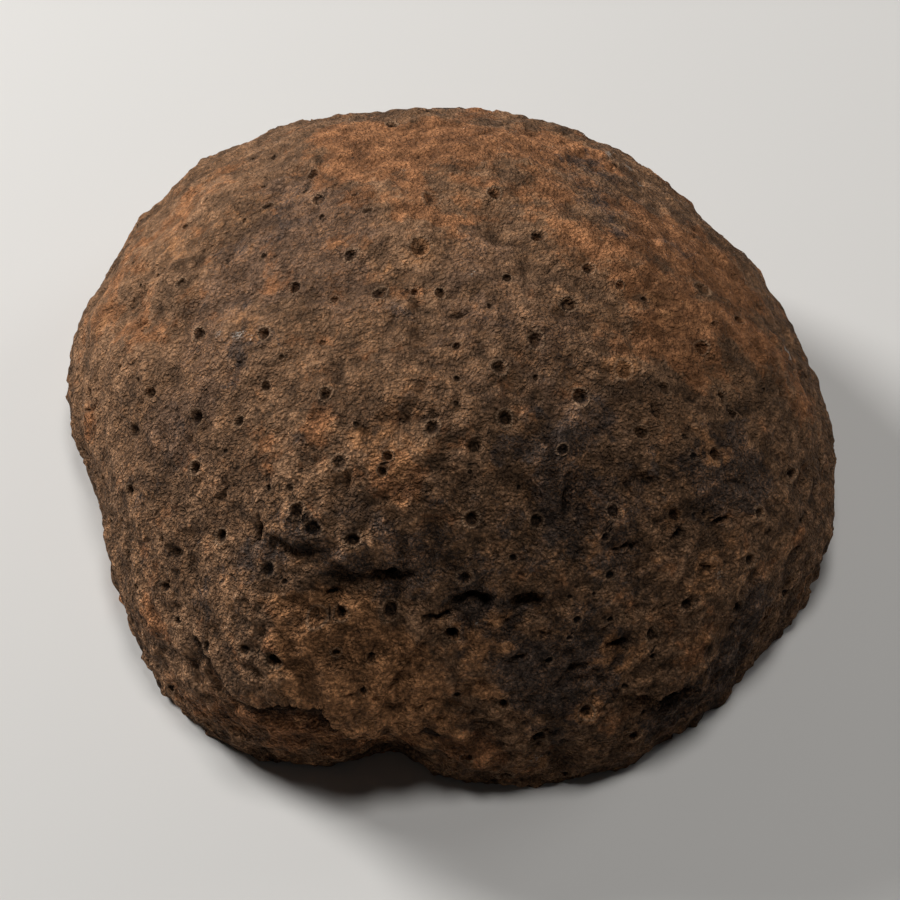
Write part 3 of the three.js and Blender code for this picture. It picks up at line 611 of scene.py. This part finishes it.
def cutSlots(p, ragged, slotSpots):
    # a and b are the place along and across a slot in its half length and half width; the cut is
    # depth * sqrt(1 - a^2), steep at the upper edge and easing out downhill; slotPlace keeps a and b
    lift, slide = np.zeros(len(p)), np.zeros_like(p)
    slotPlace = np.tile([0.0, 0.0, 3.0], (len(p), 1))
    fray = noise(p, 1.3, coralHead["seed"] + 19)
    for (x, y, halfLength, halfWidth, depth, turned), spot in zip(slots, slotSpots):
        n = domeNormal(spot)
        across = unit(np.array([1.0, 0, 0]) - n * n[0])
        down = np.cross(n, across) * -1
        angle = math.radians(turned)
        along = across * math.cos(angle) + down * math.sin(angle)
        below = down * math.cos(angle) - across * math.sin(angle)
        offset = p - spot
        close = np.nonzero(np.abs(offset).max(1) < 12)[0]
        a = offset[close] @ along / (halfLength / sheet["unitsPerMm"])
        b = offset[close] @ below + 0.55 * ragged[close] + 0.3 * fray[close]
        b /= halfWidth / sheet["unitsPerMm"]
        lengthwise = np.sqrt(np.clip(1 - a ** 2, 0, 1))
        bowl = lengthwise * smoothstep(b, -1.15, -0.65) * (1 - smoothstep(b, -0.5, 1.7))
        bowl *= np.abs(offset[close] @ n) < 8
        lift[close] -= depth * bowl
        away = np.hypot(a, b)
        inReach = (away < 2.6) & (away < np.linalg.norm(slotPlace[close], axis=1))
        slotPlace[close[inReach]] = np.stack([a, b, 0 * a], -1)[inReach]
        lip = lengthwise * np.exp(-((b + 1.15) / 0.35) ** 2)
        slide[close] += below * (0.10 * lip)[:, None]
    return lift, slide, slotPlace


def sinkCalices(p, spots, widths):
    # bowl = depth * (1 - q^2)^1.15 inside q = distance / radius < 1, rim = a low ring just outside;
    # calicePlace keeps the offset from the nearest calice in calice radii, rimMask how strong its rim is
    lift = np.zeros(len(p))
    calicePlace = np.tile([0.0, 0.0, 3.0], (len(p), 1))
    nearest, rimMask = np.full(len(p), 3.0), np.zeros(len(p))
    rng = np.random.default_rng(coralHead["seed"])
    uneven = 1 + 0.16 * noise(p, 1.6, coralHead["seed"] + 13)
    for spot, width in zip(spots, widths):
        stretch, heading, deep, collar = rng.uniform(0, 1, 5)[:4]   # the fifth draw is spare
        near = np.nonzero((np.abs(p - spot) < 1.6 * width + 0.5).all(1))[0]
        offset = p[near] - spot
        n = domeNormal(spot)
        along = unit(np.array([math.cos(6.3 * heading), math.sin(6.3 * heading), 0.3]))
        squared = (offset ** 2).sum(1) - 0.35 * stretch * (offset @ along) ** 2
        q = np.sqrt(np.maximum(squared, 0)) * uneven[near] / (0.5 * width * (1 - 0.08 * stretch))
        bowl = np.clip(1 - q ** 2, 0, 1) ** 1.15
        depth = caliceShape["depth"] * width * (0.75 + 0.5 * deep)
        worn = width > caliceShape["wornFrom"]
        if worn:
            bowl = np.clip(1.25 * bowl - 0.75 * np.exp(-(q / 0.45) ** 2), 0, 1)   # a boss on its floor
            depth *= caliceShape["wornDepth"]
        ring = np.exp(-((q - 1.22) / caliceShape["rimReach"]) ** 2) * smoothstep(q, 0.8, 1.05)
        lift[near] -= depth * bowl
        lift[near] += caliceShape["rim"] * width * (0.3 + 1.1 * collar) * ring
        nearer = q < nearest[near]
        closer = near[nearer]
        across = unit(np.cross(n, [0.31, 0.95, 0.05]))
        bearing = unit((offset @ np.stack([across, np.cross(n, across)], -1))[nearer] + 1e-6)
        kept = np.maximum(q[nearer], caliceShape["wornShade"] if worn else 0)
        calicePlace[closer, :2] = bearing * kept[:, None]
        calicePlace[closer, 2] = 0
        rimMask[closer] = (0.25 + 0.75 * collar) * min(1.0, width / 2.2)
        nearest[closer] = q[nearer]
    return lift, calicePlace, rimMask


def buildSurface():
    # the dome's grid, lifted along its normals by all the forms, and slid sideways where a lip hangs over
    cells = coralHead["gridCells"]
    steps = np.linspace(-1, 1, cells + 1)
    u, v = np.meshgrid(steps, steps)
    v = v - coralHead["lean"] * (1 - v ** 2)
    turn, azimuth = squareToDisc(u.ravel(), v.ravel())
    rim = turn > 1 - 1e-9
    p = domePoint(turn, azimuth)
    normal = domeNormal(p)

    crackPaths = [(width, depth, smoothPath(liftedSpots(points, broadLift), 4))
                  for width, depth, points in cracks]
    slotSpots = liftedSpots(slots, broadLift)
    hiddenSpots, hiddenWidths = hiddenCaliceSpots()
    caliceSpots = np.vstack([liftedSpots(calices, broadLift), hiddenSpots])
    widths = np.concatenate([np.array(calices, float)[:, 2] / sheet["unitsPerMm"], hiddenWidths])
    freed = smoothstep(p[:, 2], 1, 5)   # 0 at the cut, which keeps its edge, and 1 from 5 mm up
    drawInGrid(p, normal, freed, crackPaths, slotSpots, caliceSpots, widths)

    seed = coralHead["seed"]
    ragged = 1.2 * noise(p, 4.4, seed + 1) + 0.7 * noise(p, 1.7, seed + 2)
    # worn smooth over the back and the top, rougher towards the front foot, where the painted shade is also
    # deeper
    rough = 0.7 + 1.0 * smoothstep(-(0.82 * p[:, 1] + 0.57 * p[:, 2]), -52, 38)
    ledgeLift, ledgeSlide, lipShare, pastLip = layLedges(p, normal, freed, ragged)
    skinLift, crumbs, nicks = roughenSkin(p, rough)
    crackLift, crackShade = cutCracks(p, normal, ragged, crackPaths)
    slotLift, slotSlide, slotPlace = cutSlots(p, ragged, slotSpots)
    caliceLift, calicePlace, rimMask = sinkCalices(p, caliceSpots, widths)
    lift = swellLift(p) + ledgeLift + skinLift + crackLift + slotLift + caliceLift

    # near the cut the normals lose their downward share, and nothing goes below the cut
    outward = normal.copy()
    level = outward[:, 2] * smoothstep(p[:, 2], 0, 12)
    outward[:, 2] = np.where(outward[:, 2] < 0, level, outward[:, 2])
    surface = p + outward * lift[:, None] + ledgeSlide + slotSlide
    surface[:, 2] = np.where(rim, 0, np.maximum(surface[:, 2], 0.05 + 0.3 * (1 - turn)))
    # place for the striae that run down the sides: round the girth, and a little down the slope
    girth = girthAt(azimuth)
    around = np.stack([np.cos(azimuth) * girth, np.sin(azimuth) * girth, 9 * turn], -1)
    masks = {"rough": rough, "rim": rimMask, "shade": np.clip(0.6 * nicks + crackShade, 0, 1),
             "slope": smoothstep(turn, 0.35, 0.75), "lump": np.clip(crumbs, -1, 1),
             "lipShare": lipShare, "pastLip": pastLip}
    places = {"calicePlace": calicePlace, "slotPlace": slotPlace, "around": around * millimetre}
    return surface, p, masks, places


def gridFaces(rows, columns):
    # one four-cornered face between neighbouring points, wound to look outwards
    corner = np.arange(rows * columns).reshape(rows, columns)
    quads = np.stack([corner[:-1, :-1], corner[:-1, 1:], corner[1:, 1:], corner[1:, :-1]], -1)
    return quads.reshape(-1, 4)


def buildBase(surface, side):
    # rings from the rim of the cut inwards to one point, all at height 0
    index = np.arange(side * side).reshape(side, side)
    loop = np.concatenate([index[0, :-1], index[:-1, -1], index[-1, :0:-1], index[:0:-1, 0]])
    middle = surface[loop].mean(0) * [1, 1, 0]
    rings, corners, faces = [], loop, []
    start = side * side
    for share in coralHead["baseRings"]:
        rings.append(middle + (surface[loop] - middle) * (1 - share))
        inner = start + np.arange(len(loop))
        faces.append(np.stack([corners, inner, np.roll(inner, -1), np.roll(corners, -1)], -1))
        corners, start = inner, start + len(loop)
    hub = np.full(len(loop), start)
    fan = np.stack([corners, hub, np.roll(corners, -1)], -1)
    return np.vstack(rings + [middle[None]]), np.vstack(faces), fan


def meshFrom(name, points, quads, triangles):
    # each face's corners start where those of the faces before it end
    mesh = bpy.data.meshes.new(name)
    mesh.vertices.add(len(points))
    mesh.vertices.foreach_set("co", np.ascontiguousarray(points, np.float32).ravel())
    loops = np.concatenate([quads.ravel(), triangles.ravel()]).astype(np.int32)
    sizes = np.concatenate([np.full(len(quads), 4), np.full(len(triangles), 3)])
    mesh.loops.add(len(loops))
    mesh.loops.foreach_set("vertex_index", loops)
    mesh.polygons.add(len(sizes))
    mesh.polygons.foreach_set("loop_start", np.concatenate([[0], np.cumsum(sizes)[:-1]]).astype(np.int32))
    mesh.update(calc_edges=True)
    mesh.validate()
    return mesh


def addMask(mesh, name, values):
    # one number for each point, read by the material
    layer = mesh.attributes.new(name, "FLOAT", "POINT")
    layer.data.foreach_set("value", np.ascontiguousarray(values, np.float32))


def addPlaces(mesh, name, values):
    # three numbers for each point, read by the material
    layer = mesh.attributes.new(name, "FLOAT_VECTOR", "POINT")
    layer.data.foreach_set("vector", np.ascontiguousarray(values, np.float32).ravel())


surface, placed, masks, places = buildSurface()
print("surface worked out:", len(surface), "points")
side = coralHead["gridCells"] + 1
basePoints, baseFaces, baseFan = buildBase(surface, side)
points = np.vstack([surface, basePoints])
points[:, :2] += coralHead["crownSpot"]
quads = np.vstack([gridFaces(side, side), baseFaces])
mesh = meshFrom("coral_surface", points * millimetre, quads, baseFan)

seed = coralHead["seed"]
rust = patchMask(placed, rustPatches)
slate = patchMask(placed, slateAndShadePatches)
tan = patchMask(placed, tanAndPaintedLightPatches)
hiddenSide = smoothstep((domeNormal(placed) * unit(eyeSpot - placed)).sum(1), 0.15, -0.1)
rustClouds = noise(placed, 21, seed + 20) + 0.4 * noise(placed, 8, seed + 21)
slateClouds = noise(placed, 17, seed + 22) + 0.4 * noise(placed, 7, seed + 23)
rust += hiddenSide * 1.3 * smoothstep(rustClouds, 0.0, 0.7)
slate += hiddenSide * 1.1 * smoothstep(slateClouds, 0.15, 0.8)
cutFace = np.zeros(len(points))
cutFace[len(surface):] = 1
masks.update(rust=rust, slate=slate, tan=tan, grey=patchMask(placed, greyPatches),
             ochre=patchMask(placed, ochreAndPaintedLightPatches), pale=patchMask(placed, paleSpecks))
for name, values in masks.items():
    addMask(mesh, name, np.concatenate([values, np.zeros(len(basePoints))]))
addMask(mesh, "cutFace", cutFace)
for name, values in places.items():
    addPlaces(mesh, name, np.vstack([values, np.tile([0.0, 0.0, 3.0], (len(basePoints), 1))]))

head = bpy.data.objects.new("coral_head_surface", mesh)
bpy.context.scene.collection.objects.link(head)
mesh.polygons.foreach_set("use_smooth", np.ones(len(mesh.polygons), bool))
mesh.set_sharp_from_angle(angle=math.radians(coralHead["sharpAngle"]))
print("mesh made:", len(mesh.polygons), "faces")


stone = {
    "brown": (0.205, 0.114, 0.062),
    "deepBrown": (0.156, 0.087, 0.048),
    "grey": (0.176, 0.103, 0.065),
    "tan": (0.310, 0.172, 0.094),
    "rust": (0.350, 0.148, 0.062),
    "ochre": (0.390, 0.184, 0.080),
    "slate": (0.066, 0.051, 0.044),
    "dustAndHighlight": (0.40, 0.245, 0.145),
    "pale": (0.52, 0.45, 0.38),
    "bumpDepth": 1.5,         # mm
    # patches whose edges break up in a noise: its size mm, detail, roughness, distortion and gain,
    # the level taken off, and the low end, high end and share of the patch's colour
    "patches": {
        "grey": (6, 6, 0.70, 0.0, 3.0, 1.50, 0.25, 0.80, 0.85),
        "tan": (6, 7, 0.72, 0.0, 3.4, 1.70, 0.35, 0.80, 0.75),
        "rust": (8, 7, 0.72, 0.0, 3.6, 1.75, 0.30, 0.75, 0.85),
        "slate": (7, 7, 0.72, 0.3, 3.4, 1.70, 0.45, 0.85, 0.85),
        "ochre": (5, 7, 0.72, 0.3, 3.2, 1.60, 0.30, 0.80, 0.90),
    },
}


def stoneMaterial():
    # a height made of grains, flakes and rims drives the bump; the colour is brown under patches, times
    # the painted shade and dirt in its low places
    material = bpy.data.materials.new("fossil_coral_stone")
    material.use_nodes = True
    tree = material.node_tree
    tree.nodes.clear()

    def node(kind, values=None, **settings):
        # a value that is a socket is linked, and any other is set
        made = tree.nodes.new(kind)
        for key, value in settings.items():
            setattr(made, key, value)
        for key, value in (values or {}).items():
            if isinstance(value, bpy.types.NodeSocket):
                tree.links.new(value, made.inputs[key])
            else:
                made.inputs[key].default_value = value
        return made

    def mask(name):
        return node("ShaderNodeAttribute", attribute_name=name).outputs["Fac"]

    def place(name):
        return node("ShaderNodeAttribute", attribute_name=name).outputs["Vector"]

    def maths(operation, a, b=0.0, c=0.0):
        return node("ShaderNodeMath", {0: a, 1: b, 2: c}, operation=operation).outputs[0]

    def span(value, low, high, toLow=0.0, toHigh=1.0):
        # toLow up to low, toHigh from high, a smoothstep between them
        values = {"Value": value, "From Min": low, "From Max": high, "To Min": toLow, "To Max": toHigh}
        return node("ShaderNodeMapRange", values, interpolation_type="SMOOTHSTEP").outputs[0]

    def grain(size, detail=2.0, rough=0.55, vector=None, warp=0.0):
        # layered noise round 0.5, with lumps of that size in mm
        values = {"Vector": vector or where, "Scale": 1 / (size * millimetre), "Detail": detail,
                  "Roughness": rough, "Distortion": warp}
        return node("ShaderNodeTexNoise", values).outputs["Fac"]

    def pebbles(size, vector):
        # 1 in the middle of a cell, falling with the distance from it
        cells = node("ShaderNodeTexVoronoi", {"Vector": vector, "Scale": 1 / (size * millimetre)})
        return maths("SUBTRACT", 1.0, cells.outputs["Distance"])

    def blend(share, first, second, mode="MIX"):
        # first + (second - first) * share, or first times second
        made = node("ShaderNodeMix", {0: share}, data_type="RGBA", blend_type=mode)
        for socket, value in ((made.inputs[6], first), (made.inputs[7], second)):
            if isinstance(value, bpy.types.NodeSocket):
                tree.links.new(value, socket)
            else:
                socket.default_value = (*value, 1)
        return made.outputs[2]

    where = node("ShaderNodeTexCoord").outputs["Object"]

    # pebbly grains of two sizes, bent by a noise, with a fine tooth over them and striae down the sides;
    # this height drives the bump and the painted shade and dirt between the grains
    bend = node("ShaderNodeTexNoise", {"Vector": where, "Scale": 1 / (1.9 * millimetre), "Detail": 2.0})
    bend = bend.outputs["Color"]
    bend = node("ShaderNodeVectorMath", {0: bend, 1: (0.5, 0.5, 0.5)}, operation="SUBTRACT").outputs[0]
    bent = node("ShaderNodeVectorMath", {0: bend, 1: (1.5 * millimetre,) * 3, 2: where},
                operation="MULTIPLY_ADD").outputs[0]
    coarse, small = grain(0.95, 3, 0.65, bent), pebbles(0.78, bent)
    tooth = grain(0.42, 2, 0.6)
    striae = grain(0.62, 1.5, 0.5, place("around"), 0.35)
    striaeShare = maths("MULTIPLY", mask("slope"), span(grain(8, 3, 0.6), 0.46, 0.60))
    skin = maths("MULTIPLY_ADD", coarse, 0.7, maths("MULTIPLY", tooth, 0.60))
    skin = maths("MULTIPLY_ADD", small, 0.78, skin)
    # thin flakes: a noise cut into whole steps with steep risers, with painted shade at the foot and a
    # painted highlight at the edge
    steps = maths("MULTIPLY", grain(2.7, 5, 0.62, bent), 9)
    part = maths("FRACT", steps)
    flakeFootShade = span(part, 0.55, 1.0)
    flakeEdgeHighlight = maths("MULTIPLY", span(part, 0.15, 0.40), span(part, 0.45, 0.85, 1, 0))
    height = maths("MULTIPLY_ADD", maths("ADD", maths("FLOOR", steps), span(part, 0.0, 0.45)), 0.15, skin)
    height = maths("MULTIPLY", maths("SUBTRACT", height, 2.0), mask("rough"))
    striae = maths("MULTIPLY", maths("SUBTRACT", striae, 0.5), striaeShare)
    height = maths("MULTIPLY_ADD", striae, 0.9, height)

    # septa: short ticks round a calice's rim
    inCalice = place("calicePlace")
    split = node("ShaderNodeSeparateXYZ", {0: inCalice})
    ratio = node("ShaderNodeVectorMath", {0: inCalice}, operation="LENGTH").outputs["Value"]
    ratio = maths("MULTIPLY_ADD", maths("SUBTRACT", grain(1.1, 2, 0.6), 0.5), 0.35, ratio)
    bearing = maths("ARCTAN2", split.outputs[1], split.outputs[0])
    ticks = maths("SINE", maths("MULTIPLY_ADD", bearing, 17, maths("MULTIPLY", grain(1.2), 9)))
    collar = maths("MULTIPLY", span(ratio, 0.75, 1.05), span(ratio, 1.2, 1.65, 1, 0))
    collar = maths("MULTIPLY", collar, mask("rim"))
    wobble = maths("MULTIPLY", maths("SUBTRACT", grain(1.3, 3, 0.7), 0.5), 1.6)
    # pit: painted shade and dirt deep in a calice, darkest at its middle
    pit = span(maths("MULTIPLY_ADD", wobble, 0.12, ratio), 0.50, 0.98, 1, 0)
    # slot: painted shade inside the undercut slots, darkest in their middle
    slotRatio = node("ShaderNodeVectorMath", {0: place("slotPlace")}, operation="LENGTH").outputs["Value"]
    slot = span(maths("ADD", slotRatio, wobble), 0.35, 1.15, 1, 0)
    # painted shadow and dirt in a band just below each ledge's lip
    past = maths("MULTIPLY_ADD", wobble, 0.25, mask("pastLip"))
    lipShadowAndDirt = maths("MULTIPLY", span(past, 0.0, 0.12), span(past, 0.62, 1.0, 1, 0))
    lipShadowAndDirt = maths("MULTIPLY", lipShadowAndDirt, mask("lipShare"))
    ring = maths("MULTIPLY", span(ratio, 0.90, 1.08), span(ratio, 1.10, 1.42, 1, 0))
    ring = maths("MULTIPLY", ring, mask("rim"))
    height = maths("MULTIPLY_ADD", maths("MULTIPLY", ticks, collar), 0.16, height)
    height = maths("MULTIPLY_ADD", ring, 0.38, height)
    height = maths("MULTIPLY_ADD", span(ratio, 0.35, 1.02, 1, 0), -0.9, height)
    bump = node("ShaderNodeBump", {"Strength": 1.0, "Distance": stone["bumpDepth"] * millimetre,
                                   "Height": height})

    # colour: brown, worked over with rust and slate patches whose edges break up in the grain
    mottle = grain(9, 6, 0.7)
    fine = grain(1.7, 4, 0.7)
    colour = blend(span(mottle, 0.42, 0.56), stone["deepBrown"], stone["brown"])
    colour = blend(span(grain(3.4, 5, 0.7), 0.50, 0.60, 0, 0.45), colour, stone["tan"])
    for name, (size, detail, rough, warp, gain, level, low, high, share) in stone["patches"].items():
        edge = maths("SUBTRACT", mask(name), level)
        edge = maths("MULTIPLY_ADD", grain(size, detail, rough, None, warp), gain, edge)
        colour = blend(span(edge, low, high, 0, share), colour, stone[name])
    colour = blend(span(grain(2.3, 5, 0.72, where, 0.4), 0.55, 0.66, 0, 0.25), colour, stone["ochre"])
    # painted highlight: ochre along the edges of the flakes
    ochreEdgeHighlight = maths("MULTIPLY", flakeEdgeHighlight, span(mottle, 0.40, 0.60, 0.10, 0.45))
    colour = blend(ochreEdgeHighlight, colour, stone["ochre"])
    # pale ring on each calice's rim: partly dust, partly painted highlight
    colour = blend(maths("MULTIPLY", ring, 0.85), colour, stone["dustAndHighlight"])
    # painted shade and dirt in the low grains, in calices, slots and nicks and under the lips, and high
    # grains paler as painted highlight: each value with its low end, its high end, and the shade at either;
    # where a shade is a pair, its numbers are for the top and for the front foot, where the painted shade
    # is deeper
    shades = (
        (skin, 0.58, 1.50, (0.78, 0.50), (1.18, 1.40)),
        (grain(0.9, 3, 0.7), 0.30, 0.66, (0.76, 0.60), (1.20, 1.34)),
        (flakeFootShade, 0, 1, 1.04, 0.86),
        (fine, 0.36, 0.64, 0.84, 1.16),
        (mask("lump"), -0.50, 0.50, (0.80, 0.58), (1.18, 1.42)),
        (grain(5, 4, 0.65), 0.38, 0.62, 0.70, 1.30),
        (pit, 0, 1, 1, (0.52, 0.18)),
        (slot, 0, 1, 1, 0.34),
        (lipShadowAndDirt, 0, 1, 1, 0.14),
        (mask("shade"), 0, 1, 1, 0.50),
    )
    # 0 on the top, 1 at the front foot: the painted shade and dirt deepen towards the foot
    towardsFoot = span(mask("rough"), 0.7, 1.5)
    paintedShadeAndDirt = 1.0
    for value, low, high, *ends in shades:
        ends = [span(towardsFoot, 0, 1, *end) if isinstance(end, tuple) else end for end in ends]
        paintedShadeAndDirt = maths("MULTIPLY", paintedShadeAndDirt, span(value, low, high, *ends))
    colour = blend(1.0, colour, paintedShadeAndDirt, "MULTIPLY")
    # more of the pale rim, partly dust, partly painted highlight, broken up by a grain
    rimDustAndHighlight = maths("MULTIPLY", ring, span(grain(0.8, 3, 0.7), 0.40, 0.60, 0.10, 0.50))
    colour = blend(rimDustAndHighlight, colour, stone["dustAndHighlight"])
    # painted highlights: sparse small bright specks
    colour = blend(span(grain(0.55, 2, 0.75), 0.60, 0.74, 0, 0.45), colour, stone["dustAndHighlight"])
    speck = maths("MULTIPLY_ADD", maths("SUBTRACT", tooth, 0.5), 2.4, mask("pale"))
    speck = maths("MULTIPLY", span(speck, 0.55, 0.95, 0, 0.8), span(mask("pale"), 0.05, 0.3))
    colour = blend(speck, colour, stone["pale"])
    # the cut base shows the growth bands of the skeleton as rings
    flat = node("ShaderNodeVectorMath", {0: where, 1: (1, 1, 0)}, operation="MULTIPLY").outputs[0]
    across = node("ShaderNodeVectorMath", {0: flat}, operation="LENGTH").outputs["Value"]
    band = maths("SINE", maths("MULTIPLY_ADD", mottle, 14, maths("DIVIDE", across, 0.75 * millimetre)))
    cutColour = blend(span(band, -0.8, 0.8, 0.15, 0.65), stone["deepBrown"], stone["dustAndHighlight"])
    cutColour = blend(span(grain(6, 5, 0.7), 0.50, 0.62, 0, 0.6), cutColour, stone["slate"])
    colour = blend(mask("cutFace"), colour, blend(1.0, cutColour, paintedShadeAndDirt, "MULTIPLY"))
    shader = node("ShaderNodeBsdfPrincipled", {
        "Base Color": colour, "Roughness": span(fine, 0.3, 0.7, 0.80, 0.95), "Normal": bump.outputs[0],
        "Specular IOR Level": 0.12})
    tree.links.new(shader.outputs[0], node("ShaderNodeOutputMaterial").inputs[0])
    return material


head.data.materials.append(stoneMaterial())
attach(head, "root")
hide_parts("coral_head")
print("material made")


studio = {
    "floorSize": 4.0,
    "floorColour": (0.72, 0.70, 0.67),
    "lamps": [
        {"name": "key", "azimuth": 148, "rise": 33, "distance": 1.2, "size": 0.35, "power": 13.5},
        {"name": "top", "azimuth": 0, "rise": 88, "distance": 1.2, "size": 0.3, "power": 4.8},
        {"name": "fill", "azimuth": 30, "rise": 30, "distance": 1.2, "size": 0.5, "power": 1.8},
    ],
    "skyStrength": 0.02,
}


def buildStudio():
    # a pale floor, round lamps that face the head from their azimuth and rise, and a faint sky
    half = studio["floorSize"] / 2
    corners = np.array([(-half, -half, 0), (half, -half, 0), (half, half, 0), (-half, half, 0)])
    quad, noTriangles = np.array([[0, 1, 2, 3]]), np.zeros((0, 3), int)
    floor = bpy.data.objects.new("floor", meshFrom("floor", corners, quad, noTriangles))
    bpy.context.scene.collection.objects.link(floor)
    paint = bpy.data.materials.new("floor_paint")
    paint.use_nodes = True
    shader = paint.node_tree.nodes["Principled BSDF"]
    shader.inputs["Base Color"].default_value = (*studio["floorColour"], 1)
    shader.inputs["Roughness"].default_value = 0.9
    floor.data.materials.append(paint)
    for lamp in studio["lamps"]:
        light = bpy.data.lights.new(lamp["name"], "AREA")
        light.shape, light.size, light.energy = "DISK", lamp["size"], lamp["power"]
        azimuth, rise = math.radians(lamp["azimuth"]), math.radians(lamp["rise"])
        level = math.cos(rise)
        direction = Vector((level * math.cos(azimuth), level * math.sin(azimuth), math.sin(rise)))
        box = bpy.data.objects.new(lamp["name"], light)
        box.location = direction * lamp["distance"]
        box.rotation_euler = direction.to_track_quat("Z", "Y").to_euler()
        bpy.context.scene.collection.objects.link(box)
    world = bpy.data.worlds.new("soft_sky")
    world.use_nodes = True
    world.node_tree.nodes["Background"].inputs["Color"].default_value = (1, 1, 1, 1)
    world.node_tree.nodes["Background"].inputs["Strength"].default_value = studio["skyStrength"]
    bpy.context.scene.world = world
    bpy.context.scene.view_settings.view_transform = "Standard"


def placeCamera():
    # the sheet's own eye: 900 units of the sheet fill the frame
    lens = bpy.data.cameras.new("camera")
    lens.sensor_width = 36
    frameWidth = 2 * sheet["middle"] / sheet["unitsPerMm"]
    lens.lens = lens.sensor_width * sheet["eyeDistance"] / frameWidth
    lens.clip_start = 0.01
    camera = bpy.data.objects.new("camera", lens)
    shift = np.array([*coralHead["crownSpot"], 0])
    camera.location = (eyeSpot + shift) * millimetre
    camera.rotation_euler = Vector(toEye).to_track_quat("Z", "Y").to_euler()
    bpy.context.scene.collection.objects.link(camera)
    bpy.context.scene.camera = camera


buildStudio()
placeCamera()
print("studio made")
